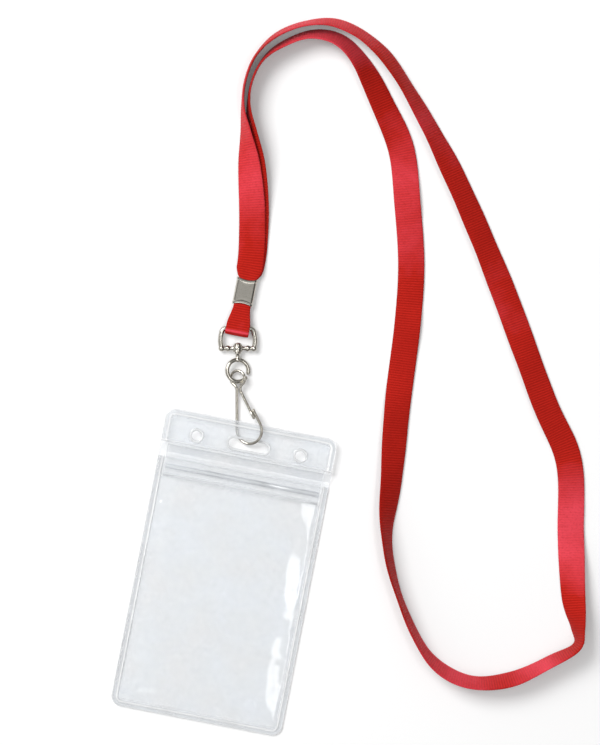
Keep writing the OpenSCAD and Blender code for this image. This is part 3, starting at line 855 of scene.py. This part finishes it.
def make_d_ring(scene):
    """Bent ring with a turned lower bar, beads, collars and a bored boss for the swivel."""
    arm_x = RING_W / 2
    shoulder = RING_H - RING_CORNER
    rise = np.linspace(0, 1, 16)[:-1]
    side = np.concatenate([
        np.stack([arm_x + RING_BOW * np.sin(math.pi * rise), shoulder * rise], axis=1),
        arc((arm_x - RING_CORNER, shoulder), RING_CORNER, 0, math.pi / 2, 12)])
    bent = even_path(np.concatenate([side, side[::-1] * [-1, 1]]), 0.35)
    shells = [tube(in_plane(bent, CHAIN, ACROSS, ALONG), RING_D / 2, UP, 28)]
    bar_r = 0.4 * RING_D
    knob_r = 0.62 * RING_D
    bead_x = 0.62 * arm_x
    profile = [(1.3, bar_r * 1.18), (1.75, bar_r * 1.18), (1.95, bar_r), (2.55, bar_r)]
    for centre, reach in ((bead_x, 0.98), (arm_x, 1.0)):
        for turn in np.radians([-48, -30, -12, 12, 30, 48]):
            profile.append((centre + knob_r * math.sin(turn) * reach, knob_r * math.cos(turn)))
        if centre == bead_x:
            profile += [(bead_x + 0.94, bar_r), (bead_x + 1.3, bar_r)]
    profile += [(arm_x + knob_r * 0.94, knob_r * 0.34), (arm_x + knob_r, 0.05)]
    profile.sort(key=lambda pair: pair[0])
    for way in (-1, 1):
        shells.append(lathe(profile, CHAIN, way * ACROSS))
    bore_r = STEM_D / 2 + STEM_CLEAR
    half = BOSS_L / 2
    boss_r = BOSS_D / 2
    # Grooved boss: distance in from its end, and share of its radius
    grooves = [(0.0, 0.82), (0.12, 0.93), (0.35, 0.96), (0.6, 0.86), (0.85, 0.96)]
    boss = ([(-half, bore_r)] + [(-half + d, boss_r * r) for d, r in grooves] + [(0, boss_r)]
            + [(half - d, boss_r * r) for d, r in grooves[::-1]] + [(half, bore_r)])
    round_boss = circle(36, ACROSS, UP)
    shells.append(skin([CHAIN + d * ALONG + r * round_boss for d, r in boss], loop=True))
    obj = add_piece("ornate_d_ring", shells, bright_nickel(scene))
    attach(obj, "ring")
    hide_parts("d_ring")


def make_swivel(scene):
    """Riveted stem with a collar, and a bent open eye below it."""
    across = math.cos(EYE_ROLL) * ACROSS - math.sin(EYE_ROLL) * UP
    normal = np.cross(across, ALONG)
    rivet_y = BOSS_L / 2 + STEM_CLEAR
    rivet_r = 0.4 * BOSS_D
    stem_r = STEM_D / 2
    collar_r = 0.7 * STEM_D
    collar_top = -BOSS_L / 2 - STEM_CLEAR
    eye_y = -STEM_L - EYE_D / 2
    stem = [(-STEM_L - 0.55 * EYE_WIRE, collar_r * 0.8), (-STEM_L - 0.2 * EYE_WIRE, collar_r),
            (-STEM_L + 0.25, collar_r), (-STEM_L + 0.5, stem_r * 1.05),
            (collar_top - 0.75, stem_r * 1.05), (collar_top - 0.6, collar_r * 1.08),
            (collar_top - 0.08, collar_r * 1.12), (collar_top, collar_r), (collar_top, stem_r),
            (rivet_y, stem_r), (rivet_y, rivet_r * 0.94), (rivet_y + 0.1, rivet_r),
            (rivet_y + 0.32, rivet_r * 0.92), (rivet_y + 0.55, rivet_r * 0.7),
            (rivet_y + 0.7, rivet_r * 0.38), (rivet_y + 0.75, rivet_r * 0.05)]
    seam = EYE_SEAM / (EYE_D / 2)
    inset = EYE_WIRE / 2 / (EYE_D / 2)
    bend = arc((0, eye_y), EYE_D / 2, EYE_OPEN_AT + seam + inset,
               EYE_OPEN_AT + 2 * math.pi - inset, 84)
    eye = tube(in_plane(bend, CHAIN, across, ALONG), EYE_WIRE / 2, normal, 28)
    shells = [lathe(stem, CHAIN, ALONG), eye]
    obj = add_piece("swivel_c_eye", shells, bright_nickel(scene))
    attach(obj, "swivel")
    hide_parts("swivel_eye")


def hook_plan():
    """Flat plan of the hook in its own plane: the wire's path, gate ends and directions."""
    inset = HOOK_WIRE + CATCH_CLEAR + CATCH_WALL / 6
    to_neck = np.array([NECK_GAP - JAW_R, HOOK_L - HEAD_R - NECK_R])
    lean = math.acos((JAW_R - inset) / np.linalg.norm(to_neck))
    slant = math.atan2(to_neck[1], to_neck[0]) - lean
    gate_up = np.array([-math.sin(slant), math.cos(slant)])
    gate_out = np.array([math.cos(slant), math.sin(slant)])
    jaw = np.array([JAW_R + SPINE_OFFSET, -HOOK_L])
    foot = jaw + (JAW_R - inset) * gate_out
    return_tip = jaw + JAW_R * gate_out + RETURN_L * gate_up
    gate_tip = foot + (RETURN_L - CATCH_L) * gate_up
    reach = HEAD_R + NECK_R
    neck_x = SPINE_OFFSET - NECK_R
    spine_neck = np.array([neck_x, -math.sqrt(reach ** 2 - neck_x ** 2)])
    far = foot + NECK_R * gate_out
    run = -(far @ gate_up) - math.sqrt((far @ gate_up) ** 2 - far @ far + reach ** 2)
    gate_neck = far + run * gate_up
    gate_top = gate_neck - NECK_R * gate_out
    spine_angle = math.atan2(spine_neck[1], spine_neck[0])
    gate_angle = math.atan2(gate_neck[1], gate_neck[0])
    wire = np.concatenate([
        arc(gate_neck, NECK_R, math.pi + slant, math.pi + gate_angle, 10),
        arc((0, 0), HEAD_R, gate_angle, 2 * math.pi + spine_angle, 60),
        arc(spine_neck, NECK_R, spine_angle + math.pi, 0, 12),
        arc(jaw, JAW_R, -math.pi, slant, 60),
        [return_tip]])
    return wire, gate_top, gate_tip, gate_up, gate_out


def make_hook(scene):
    """Bent wire hook with its curled catch, and the gate wire that springs against it."""
    metal = bright_nickel(scene)
    wire, gate_top, gate_tip, gate_up, gate_out = hook_plan()
    wire_r = HOOK_WIRE / 2
    wire = in_plane(even_path(wire, 0.3), HEAD, HOOK_X, HOOK_Y)
    bent = tube(wire, wire_r, HOOK_N, 24, (False, True))
    inner = wire_r + CATCH_CLEAR
    outer = inner + CATCH_WALL
    up_dir = gate_up[0] * HOOK_X + gate_up[1] * HOOK_Y
    out_dir = gate_out[0] * HOOK_X + gate_out[1] * HOOK_Y
    foot = HEAD + gate_tip[0] * HOOK_X + gate_tip[1] * HOOK_Y
    turn = np.linspace(-0.5 * math.pi, 0.5 * math.pi, 22)
    curl = np.cos(turn)[:, None] * out_dir + np.sin(turn)[:, None] * HOOK_N
    middle = (inner + outer) / 2
    half_wall = CATCH_WALL / 2
    rings = []
    for y, thin in ((0.0, 0.35), (0.06, 0.8), (0.2, 1.0), (CATCH_L / 2, 1.0), (CATCH_L - 0.2, 1.0),
                    (CATCH_L - 0.06, 0.8), (CATCH_L, 0.35)):
        wall = half_wall * thin
        shell = np.concatenate([(middle + wall) * curl, (middle - wall) * curl[::-1]])
        rings.append(foot + y * up_dir + shell)
    hook = add_piece("sprung_hook", [bent, skin(rings)], metal)
    crease(hook, CATCH_CREASE)
    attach(hook, "hook")
    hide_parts("hook_wire")

    straight = np.linspace(0, 1, 24)[:, None] * (gate_tip - gate_top) + gate_top
    tip_short = 0.1
    straight[-1] += tip_short * gate_up
    arm = tube(in_plane(straight, HEAD, HOOK_X, HOOK_Y), wire_r, HOOK_N, 24, (False, True))
    gate = add_piece("gate_wire", [arm], metal)
    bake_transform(gate)
    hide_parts("gate_arm")


# ---------------------------------------------------------------- pouch

def rise(y):
    """Height of the films over the table: the header is lifted onto the hook."""
    return STEP_RISE * ease((y - STEP_LOW) / (STEP_HIGH - STEP_LOW))


def inset_from_edge(x, y):
    """Distance inwards from the pouch's rounded outline."""
    qx = np.abs(x) - (POUCH_W / 2 - CORNER_R)
    qy = np.abs(y) - (POUCH_H / 2 - CORNER_R)
    outside = np.hypot(np.maximum(qx, 0), np.maximum(qy, 0)) + np.minimum(np.maximum(qx, qy), 0)
    return CORNER_R - outside


def half_width(y):
    """Half width of the pouch's outline at a height."""
    into = np.clip(np.abs(y) - (POUCH_H / 2 - CORNER_R), 0, CORNER_R)
    return POUCH_W / 2 - CORNER_R + np.sqrt(np.maximum(CORNER_R ** 2 - into ** 2, 0))


# Distances in from the pouch's sides and ends at which its films have points
SIDE_STEPS = np.array([0, 0.1, 0.22, 0.36, 0.55, 0.85, 1.2, 1.5, 1.75, 2.0, 2.25, 2.5, 2.8, 3.15,
                       3.6, 4.2, 5, 6, 7.2, 8.6, 10.2, 12, 14, 16.5, 19.5, 23, 27.5, POUCH_W / 2])
SIDE_SHARE = SIDE_STEPS / (POUCH_W / 2)
END_STEPS = np.array([0, 0.1, 0.25, 0.45, 0.7, 1.0, 1.35, 1.7, 2.0, 2.3, 2.6, 3.0, 3.5, 4.0,
                      5, 6, 7.5, 9.5, 12])
TOP_Y = POUCH_H / 2
TOP_ROWS = (TOP_Y - END_STEPS[:14])[::-1]
ZIP_STEPS = np.array([0.5, 1.5, 2.6, 2.9, 3.0, 3.1, 3.5])
ZIP_ROWS = ZIP_Y + np.concatenate([-ZIP_STEPS[::-1], ZIP_STEPS])
WELD_IN = 1.9

# Openings of the header: centre, width, height
OPENINGS = ((0.0, SLOT_W, SLOT_H),
            (-HOLE_SPAN / 2, HOLE_D, HOLE_D),
            (HOLE_SPAN / 2, HOLE_D, HOLE_D))


def shell_of(x, y, low, high):
    """Closed thin shell between two heights over a grid."""
    rows, cols = x.shape
    top = np.stack([x, y, high], axis=-1).reshape(-1, 3)
    bottom = np.stack([x, y, low], axis=-1).reshape(-1, 3)
    count = rows * cols
    faces = []
    for r in range(rows - 1):
        for c in range(cols - 1):
            a, b = r * cols + c, r * cols + c + 1
            d, e = a + cols, b + cols
            faces.append((a, b, e, d))
            faces.append((a + count, d + count, e + count, b + count))
    rim = (list(range(cols)) + [r * cols + cols - 1 for r in range(1, rows)]
           + [(rows - 1) * cols + c for c in range(cols - 2, -1, -1)]
           + [r * cols for r in range(rows - 2, 0, -1)])
    for a, b in zip(rim, rim[1:] + rim[:1]):
        faces.append((a, a + count, b + count, b))
    return np.concatenate([top, bottom]), faces


def outline_grid(rows):
    """Grid over the pouch's plan, dense along its sides, with one row for each height given."""
    rows = np.asarray(rows, float)
    half = half_width(rows)
    left = -half[:, None] * (1 - SIDE_SHARE)[None, :]
    x = np.concatenate([left, -left[:, -2::-1]], axis=1)
    return x, np.repeat(rows[:, None], x.shape[1], axis=1)


def rim_frost_and_glint(inset):
    """Rim whiteness, frost plus painted highlight: lines at its outer edge and the weld, band
    between.
    """
    band = 0.25 * (1 - ease((inset - 2.1) / 0.5))
    outer = 0.7 * bump((inset - 0.1) / 0.22)
    inner = 0.85 * bump((inset - WELD_IN) / 0.3)
    return np.clip(band + outer + inner, 0, 1)


def weld_beads(inset):
    """Height of the squeezed-out beads on the rim."""
    return 0.10 * bump((inset - 0.3) / 0.25) + 0.16 * bump((inset - WELD_IN) / 0.32)


def ripples(x, y, settings):
    """Waves of the slack film beside its welds, longer and finer ones along the right weld."""
    near = 1 - ease((inset_from_edge(x, y) - 3.0) / 13.0)
    calm = ease((x - 16) / 8)
    wave = ((1 - 0.85 * calm) * np.sin(y * 0.41 + 0.5 * np.sin(x * 0.23))
            + 0.7 * np.sin(y * 0.17 + x * 0.31 + 1.3)
            + (0.5 - 0.45 * calm) * np.sin(y * 0.83 - x * 0.12 + 0.4)
            + 0.3 * calm * np.sin(x * 0.7 + 1.8 * np.sin(y * 0.62) + 1.1 * np.sin(y * 1.3 + 1.0)))
    return settings.ripple / MM * wave * (0.22 + 0.78 * near)


def slot_outline(centre_x, width, height, grow, count):
    """Closed outline of a long hole with round ends."""
    r = height / 2 + grow
    straight = width / 2 - height / 2
    right = arc((centre_x + straight, SLOT_Y), r, -math.pi / 2, math.pi / 2, count)
    left = arc((centre_x - straight, SLOT_Y), r, math.pi / 2, 1.5 * math.pi, count)
    if straight < 1e-6:
        return np.concatenate([right[:-1], left[:-1]])
    return np.concatenate([right, left])


def cut_openings(obj):
    """Cuts the slot and holes through a film."""
    shells = []
    under, tall = -2.0, 8.0
    for centre, width, height in OPENINGS:
        flat = slot_outline(centre, width, height, 0.0, 24)
        low = np.concatenate([flat, np.full((len(flat), 1), under)], axis=1)
        shells.append(skin([low, low + tall * UP]))
    cutter = add_piece("header_cutter", shells, obj.data.materials[0])
    modifier = obj.modifiers.new("openings", "BOOLEAN")
    modifier.object = cutter
    modifier.operation = "DIFFERENCE"
    modifier.solver = "EXACT"
    bake(obj)
    bpy.data.objects.remove(cutter)


def both_sides(*welds):
    """Whiteness for the upper and the lower points of shells over grids."""
    return np.concatenate([np.tile(weld.ravel(), 2) for weld in welds])


def film_piece(name, shells, weld, material, openings=False):
    """Adds a piece of film with its weld attribute, and with the header's openings where asked."""
    obj = add_piece(name, shells, material)
    # The weld attribute whitens the film: partly frosting, partly a painted highlight
    set_point_values(obj, "weld", np.broadcast_to(weld, len(obj.data.vertices)))
    if openings:
        cut_openings(obj)
    crease(obj, FILM_CREASE)
    return obj


def make_back_film(scene):
    """Back sheet of the pouch, from the bottom weld up over the lifted header."""
    rows = np.concatenate([-TOP_Y + END_STEPS, np.linspace(-42, 30, 37), ZIP_ROWS,
                           np.arange(40, 46.5, 0.75), TOP_ROWS])
    x, y = outline_grid(np.unique(rows))
    low = rise(y)
    inset = inset_from_edge(x, y)
    inside = np.abs(x) < INNER_W / 2
    # Whiter at the cut edge and the zip strip's edges: painted highlight
    weld = np.clip(0.45 * bump(inset / 0.15) + 0.3 * (zip_edge(y) * inside), 0, 1)
    high = low + FILM_T + ZIP_BASE * (zip_band(y) * inside)
    obj = film_piece("pouch_back_film", [shell_of(x, y, low, high)], both_sides(weld),
                     clear_film(scene), openings=True)
    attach(obj, "pouch")
    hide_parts("back_sheet")


def make_header_film(scene):
    """Doubled header strip with its lower weld line and raised rings round the openings."""
    material = clear_film(scene)
    low_steps = HEADER_LOW + np.array([0, 0.1, 0.25, 0.4, 0.6, 0.85, 1.2, 1.7, 2.4])
    x, y = outline_grid(np.unique(np.concatenate([low_steps, np.arange(48.2, 55, 0.8), TOP_ROWS])))
    inset = inset_from_edge(x, y)
    low = rise(y) + FILM_T
    seam = bump((y - HEADER_LOW - 0.35) / 0.3)
    high = low + FILM_T + 0.6 * weld_beads(inset) + 0.12 * seam
    # Whiteness of rim and lower weld line: partly the welds' frosting, partly a painted highlight
    weld = np.clip(rim_frost_and_glint(inset) + 0.8 * seam, 0, 1)
    obj = film_piece("pouch_header_film", [shell_of(x, y, low, high)], both_sides(weld), material,
                     openings=True)
    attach(obj, "pouch")
    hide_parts("header_strip")

    rings = []
    # The raised rings round the openings are whitened with a painted highlight
    ring_h, ring_glint, ring_off = 0.16, 0.75, 0.05
    turn = np.linspace(0, 2 * math.pi, 16, endpoint=False)
    for centre, width, height in OPENINGS:
        path = slot_outline(centre, width, height, EMBOSS_W / 2 + ring_off, 28)
        middle = np.array([centre, SLOT_Y])
        run = unit(np.roll(path, -1, axis=0) - np.roll(path, 1, axis=0))
        out = np.stack([run[:, 1], -run[:, 0]], axis=1)
        out *= np.sign(np.sum(out * (path - middle), axis=1, keepdims=True))
        loop = []
        for spot, away in zip(path, out):
            flat = spot + (EMBOSS_W / 2 * np.cos(turn))[:, None] * away
            tall = STEP_RISE + 2 * FILM_T + 0.02 + ring_h * np.sin(turn)
            loop.append(np.concatenate([flat, tall[:, None]], axis=1))
        rings.append(skin(loop, loop=True))
    emboss = add_piece("opening_rings", rings, material)
    set_point_values(emboss, "weld", np.full(len(emboss.data.vertices), ring_glint))
    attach(emboss, "pouch")


def front_lift(x, y):
    """Height of the front film's underside: on the rim, then up the pocket's soft wall."""
    inset = inset_from_edge(x, y) - RIM_W
    wall = 0.3 * ease(inset / 1.2) + 0.7 * ease(inset / 9.0)
    return FILM_T + (PANEL_Z - FILM_T) * wall


def make_front_film(scene):
    """Front of the pocket: welded rim on three sides, soft wall, panel, rims beside the zip."""
    rows = np.unique(np.concatenate([-TOP_Y + END_STEPS, np.arange(-44, 31, 1.5), [HINGE_Y]]))
    x, y = outline_grid(rows)
    inset = inset_from_edge(x, y)
    low = front_lift(x, y)
    free = ease((inset - RIM_W) / 2.5) * ease((HINGE_Y - y) / 6)
    low = np.maximum(low + free * ripples(x, y, scene.lanyard_vinyl), FILM_T)
    high = low + FILM_T + weld_beads(inset)
    # Whiteness of the rims: partly the welds' frosting, partly a painted highlight
    shells, welds = [shell_of(x, y, low, high)], [rim_frost_and_glint(inset)]
    strip = SIDE_STEPS[SIDE_STEPS <= RIM_W]
    side_rows = np.linspace(HINGE_Y, STEP_LOW, 8)
    for way in (-1, 1):
        sx, sy = np.meshgrid(way * (POUCH_W / 2 - strip), side_rows)
        into = np.broadcast_to(strip, sx.shape)
        base = np.full(sx.shape, FILM_T)
        shells.append(shell_of(sx, sy, base, base + FILM_T + weld_beads(into)))
        welds.append(rim_frost_and_glint(into))
    obj = film_piece("pouch_front_film", shells, both_sides(*welds), clear_film(scene))
    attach(obj, "pouch")
    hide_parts("front_panel")


def make_mouth_film(scene):
    """Film above the hinge line that lifts to open the pocket, with a beaded lip."""
    lip_steps = LIP_Y - np.array([0, 0.12, 0.3, 0.5, 0.8, 1.2, 2])
    hinge_steps = HINGE_Y + np.array([0, 0.2, 0.4, 0.7, 1.0, 1.4, 2.0])
    rows = np.unique(np.concatenate([hinge_steps, ZIP_ROWS[1:], np.arange(39.6, 42.4, 0.75),
                                     lip_steps]))
    half = INNER_W / 2
    line = np.concatenate([-half * (1 - SIDE_SHARE), half * (1 - SIDE_SHARE)[-2::-1]])
    x, y = np.meshgrid(line, rows)
    clear = ease((y - HINGE_Y) / 1.2)
    base = front_lift(x, y)
    panel = base + (PANEL_Z - base) * clear + rise(y)
    low = panel - ZIP_BASE * zip_band(y)
    lip = bump((y - LIP_Y + 0.35) / 0.3)
    edge = bump((half - np.abs(x)) / 0.25)
    hinge_mark = 0.25 * bump((y - HINGE_Y - 0.6) / 0.5)
    # Whiteness along the lip, side edges, zip strip and hinge: painted highlight
    weld = np.clip(0.6 * lip + 0.3 * edge + 0.45 * zip_edge(y) + hinge_mark, 0, 1)
    shell = shell_of(x, y, low, panel + FILM_T + 0.1 * lip)
    obj = film_piece("mouth_film", [shell], both_sides(weld), clear_film(scene))
    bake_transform(obj)
    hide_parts("mouth_flap")


def zip_band(y):
    """1 inside the zip's base strip, 0 outside."""
    return ease((ZIP_H / 2 + 0.1 - np.abs(y - ZIP_Y)) / 0.2)


def zip_edge(y):
    """1 along the two edges of the zip's base strip, falling off beside them."""
    return bump((np.abs(y - ZIP_Y) - ZIP_H / 2) / 0.2)


def zip_bar(profile, half):
    """Bar across the pouch with a profile of y and z pairs, and slightly tapered ends."""
    profile = np.asarray(profile, float)
    middle = profile.mean(axis=0)
    rings = []
    end_l, end_scale = 0.25, 0.55
    for x, scale in ((-half, end_scale), (-half + end_l, 1.0),
                     (half - end_l, 1.0), (half, end_scale)):
        shrunk = middle + (profile - middle) * scale
        rings.append(np.concatenate([np.full((len(shrunk), 1), x), shrunk], axis=1))
    return skin(rings)


def make_zip(scene):
    """Press-to-close zip: a bulbed rib on the flap and two lipped walls on the back film."""
    material = zip_vinyl(scene)
    # The zip's rib and walls are whitened with a painted highlight, like a glossy band
    rib_glint, wall_glint, root = 0.5, 0.4, 0.02
    half = INNER_W / 2
    rib_top = PANEL_Z - ZIP_BASE + root
    tip = PANEL_Z - ZIP_BASE - RIB_CLEAR - RIB_BITE + RIB_W / 2
    turn = np.linspace(math.pi, 2 * math.pi, 14)
    bulb = np.stack([ZIP_Y + RIB_W / 2 * np.cos(turn), tip + RIB_W / 2 * np.sin(turn)], axis=1)
    neck = RIB_W * 0.36
    rib = np.concatenate([[(ZIP_Y - RIB_W / 2, rib_top), (ZIP_Y - neck, rib_top - 0.2)], bulb,
                          [(ZIP_Y + neck, rib_top - 0.2), (ZIP_Y + RIB_W / 2, rib_top)]])
    bead = film_piece("zip_rib_bead", [zip_bar(rib, half)], rib_glint, material)
    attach(bead, "flap")
    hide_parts("zip_rib")
    gap = RIB_W / 2 + RIB_CLEAR
    base = FILM_T + ZIP_BASE - root
    lip = PANEL_Z - ZIP_BASE - RIB_CLEAR
    walls = []
    for way in (-1, 1):
        near, far = ZIP_Y + way * gap, ZIP_Y + way * (gap + GROOVE_WALL)
        slim = ZIP_Y + way * (gap + 0.3 * GROOVE_WALL)
        walls.append(zip_bar([(slim, base), (slim, lip - 0.35), (near, lip - 0.2),
                              (near, lip - 0.08), (near + way * 0.1, lip), (far - way * 0.1, lip),
                              (far, lip - 0.1), (far, base)], half))
    groove = film_piece("zip_groove_walls", walls, wall_glint, material)
    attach(groove, "pouch")
    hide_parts("zip_groove")


# ---------------------------------------------------------------- stage

def add_object(scene, name, data):
    """Puts a mesh, lamp or camera into the scene."""
    holder = bpy.data.objects.new(name, data)
    scene.collection.objects.link(holder)
    return holder


def make_floor(scene, settings):
    """Pale table that shows its own white in the picture, in metal and through film."""
    span, drop, glow = 2.0, -0.0001, 0.09
    mesh = bpy.data.meshes.new("table_top")
    corners = [(-span, -span, drop), (span, -span, drop), (span, span, drop), (-span, span, drop)]
    mesh.from_pydata(corners, [], [(0, 1, 2, 3)])
    floor = add_object(scene, "table_top", mesh)
    material, tree, shader = new_material("white_table")
    path = tree.nodes.new("ShaderNodeLightPath")
    seen = path.outputs["Is Camera Ray"]
    for ray in ("Is Glossy Ray", "Is Transmission Ray"):
        seen = maths(tree, "ADD", seen, path.outputs[ray], clamp=True)
    fill(tree, shader, {
        "Base Color": (*settings.floor, 1.0), "Roughness": 0.9, "Specular IOR Level": 0.1,
        "Emission Color": (1.0, 1.0, 1.0, 1.0),
        "Emission Strength": maths(tree, "MULTIPLY", seen, glow)})
    mesh.materials.append(material)


def make_sky(scene):
    """Studio round the table: bright overhead, dim at the sides, with a window on the left."""
    world = bpy.data.worlds.new("studio")
    world.use_nodes = True
    scene.world = world
    tree = world.node_tree
    tree.nodes.clear()
    sky = tree.nodes.new("ShaderNodeTexCoord").outputs["Generated"]
    parts = add_node(tree, "ShaderNodeSeparateXYZ", {"Vector": sky})
    aside, height = parts.outputs["X"], parts.outputs["Z"]
    side_level, top_level, zenith_share, window_level = 0.15, 0.70, 0.8, 0.5
    overhead = maths(tree, "MULTIPLY", spread(tree, height, 0.74, 0.95, side_level, top_level),
                     spread(tree, height, 0.96, 0.995, 1.0, zenith_share))
    window = maths(tree, "MULTIPLY", spread(tree, aside, -0.2, -0.8, 0.0, window_level),
                   spread(tree, height, 0.05, 0.3, 0.0, 1.0))
    level = maths(tree, "ADD", overhead, window)
    light = add_node(tree, "ShaderNodeBackground", {"Color": (1.0, 1.0, 1.0, 1.0),
                                                    "Strength": level})
    out = tree.nodes.new("ShaderNodeOutputWorld")
    tree.links.new(light.outputs["Background"], out.inputs["Surface"])


def make_lamps(scene, settings, aim):
    """Soft key lamp on the left, strips on the right and at the front, all turned to the aim."""
    turn = settings.camera_turn
    right = np.array([math.cos(turn), math.sin(turn), 0.0])
    upward = np.array([-math.sin(turn), math.cos(turn), 0.0])
    lamps = (("key", settings.key_power, (0.55, 0.55), -0.5 * right + 0.45 * upward + 0.85 * UP),
             ("side", settings.side_power, (0.16, 0.5), 0.29 * right - 0.06 * upward + 1.0 * UP),
             ("front", settings.front_power, (0.6, 0.18), -0.05 * right - 0.6 * upward + 0.8 * UP))
    for name, power, size, offset in lamps:
        lamp = bpy.data.lights.new(name, "AREA")
        lamp.energy = power
        lamp.shape = "RECTANGLE"
        lamp.size, lamp.size_y = size
        back = unit(offset)
        side = unit(np.cross(upward, back))
        place = np.eye(4)
        place[:3] = np.stack([side, np.cross(back, side), back, aim + offset], axis=1)
        add_object(scene, name, lamp).matrix_world = Matrix(place.tolist())


def make_camera(scene, settings, aim):
    """Camera straight over the table."""
    camera = bpy.data.cameras.new("picture")
    camera.sensor_width = 36.0
    view_height = 0.283
    camera.lens = camera.sensor_width * settings.camera_height / view_height
    camera.clip_start = 0.01
    holder = add_object(scene, "picture", camera)
    holder.location = (aim[0], aim[1], settings.camera_height)
    holder.rotation_euler = (0.0, 0.0, settings.camera_turn)
    scene.camera = holder


def make_stage(scene):
    """Pale floor, soft lamps, sky and the camera."""
    settings = scene.lanyard_stage
    aim = np.array([0.0139, 0.0799, 0.0])
    make_floor(scene, settings)
    make_sky(scene)
    make_lamps(scene, settings, aim)
    make_camera(scene, settings, aim)
    scene.view_settings.view_transform = "Standard"


# ---------------------------------------------------------------- operators

class LANYARD_OT_stage(bpy.types.Operator):
    """Adds the floor, lamps, sky and camera"""
    bl_idname = "lanyard.stage"
    bl_label = "Stage"

    def execute(self, context):
        make_stage(context.scene)
        return {"FINISHED"}


class LANYARD_OT_webbing(bpy.types.Operator):
    """Weaves the neck strap and the folded tab"""
    bl_idname = "lanyard.webbing"
    bl_label = "Webbing"

    def execute(self, context):
        make_neck_strap(context.scene)
        make_strap_tab(context.scene)
        return {"FINISHED"}


class LANYARD_OT_crimp(bpy.types.Operator):
    """Presses the metal sleeve that holds the webbing"""
    bl_idname = "lanyard.crimp"
    bl_label = "Crimp sleeve"

    def execute(self, context):
        make_crimp(context.scene)
        return {"FINISHED"}


class LANYARD_OT_swivel(bpy.types.Operator):
    """Makes the D-ring and the riveted swivel eye"""
    bl_idname = "lanyard.swivel"
    bl_label = "Ring and swivel"

    def execute(self, context):
        make_d_ring(context.scene)
        make_swivel(context.scene)
        return {"FINISHED"}


class LANYARD_OT_hook(bpy.types.Operator):
    """Bends the hook and its sprung gate"""
    bl_idname = "lanyard.hook"
    bl_label = "Sprung hook"

    def execute(self, context):
        make_hook(context.scene)
        return {"FINISHED"}


class LANYARD_OT_pouch(bpy.types.Operator):
    """Welds the clear pouch with its header and zip"""
    bl_idname = "lanyard.pouch"
    bl_label = "Clear pouch"

    def execute(self, context):
        make_back_film(context.scene)
        make_header_film(context.scene)
        make_front_film(context.scene)
        make_mouth_film(context.scene)
        make_zip(context.scene)
        return {"FINISHED"}


class LANYARD_PT_panel(bpy.types.Panel):
    """Lists the lanyard's pieces and settings"""
    bl_idname = "LANYARD_PT_panel"
    bl_label = "Lanyard badge holder"
    bl_space_type = "VIEW_3D"
    bl_region_type = "UI"
    bl_category = "Lanyard"

    def draw(self, context):
        for group, operators in PANEL_ROWS:
            box = self.layout.box()
            settings = getattr(context.scene, group)
            for key in settings.__annotations__:
                box.prop(settings, key)
            for operator in operators:
                box.operator(operator)


PANEL_ROWS = (
    ("lanyard_stage", ("lanyard.stage",)),
    ("lanyard_webbing", ("lanyard.webbing",)),
    ("lanyard_nickel", ("lanyard.crimp", "lanyard.swivel", "lanyard.hook")),
    ("lanyard_vinyl", ("lanyard.pouch",)),
)
SETTINGS = {"lanyard_stage": StageSettings, "lanyard_webbing": WebbingSettings,
            "lanyard_nickel": NickelSettings, "lanyard_vinyl": VinylSettings}
CLASSES = (*SETTINGS.values(), LANYARD_OT_stage, LANYARD_OT_webbing, LANYARD_OT_crimp,
           LANYARD_OT_swivel, LANYARD_OT_hook, LANYARD_OT_pouch, LANYARD_PT_panel)


def register():
    """Registers the classes and their settings."""
    for cls in CLASSES:
        bpy.utils.register_class(cls)
    for name, cls in SETTINGS.items():
        setattr(bpy.types.Scene, name, bpy.props.PointerProperty(type=cls))


def unregister():
    """Removes the settings and classes."""
    for name in SETTINGS:
        delattr(bpy.types.Scene, name)
    for cls in reversed(CLASSES):
        bpy.utils.unregister_class(cls)


def main():
    """Builds the whole lanyard."""
    register()
    bpy.ops.lanyard.stage()
    bpy.ops.lanyard.webbing()
    bpy.ops.lanyard.crimp()
    bpy.ops.lanyard.swivel()
    bpy.ops.lanyard.hook()
    bpy.ops.lanyard.pouch()


if __name__ == "__main__":
    main()
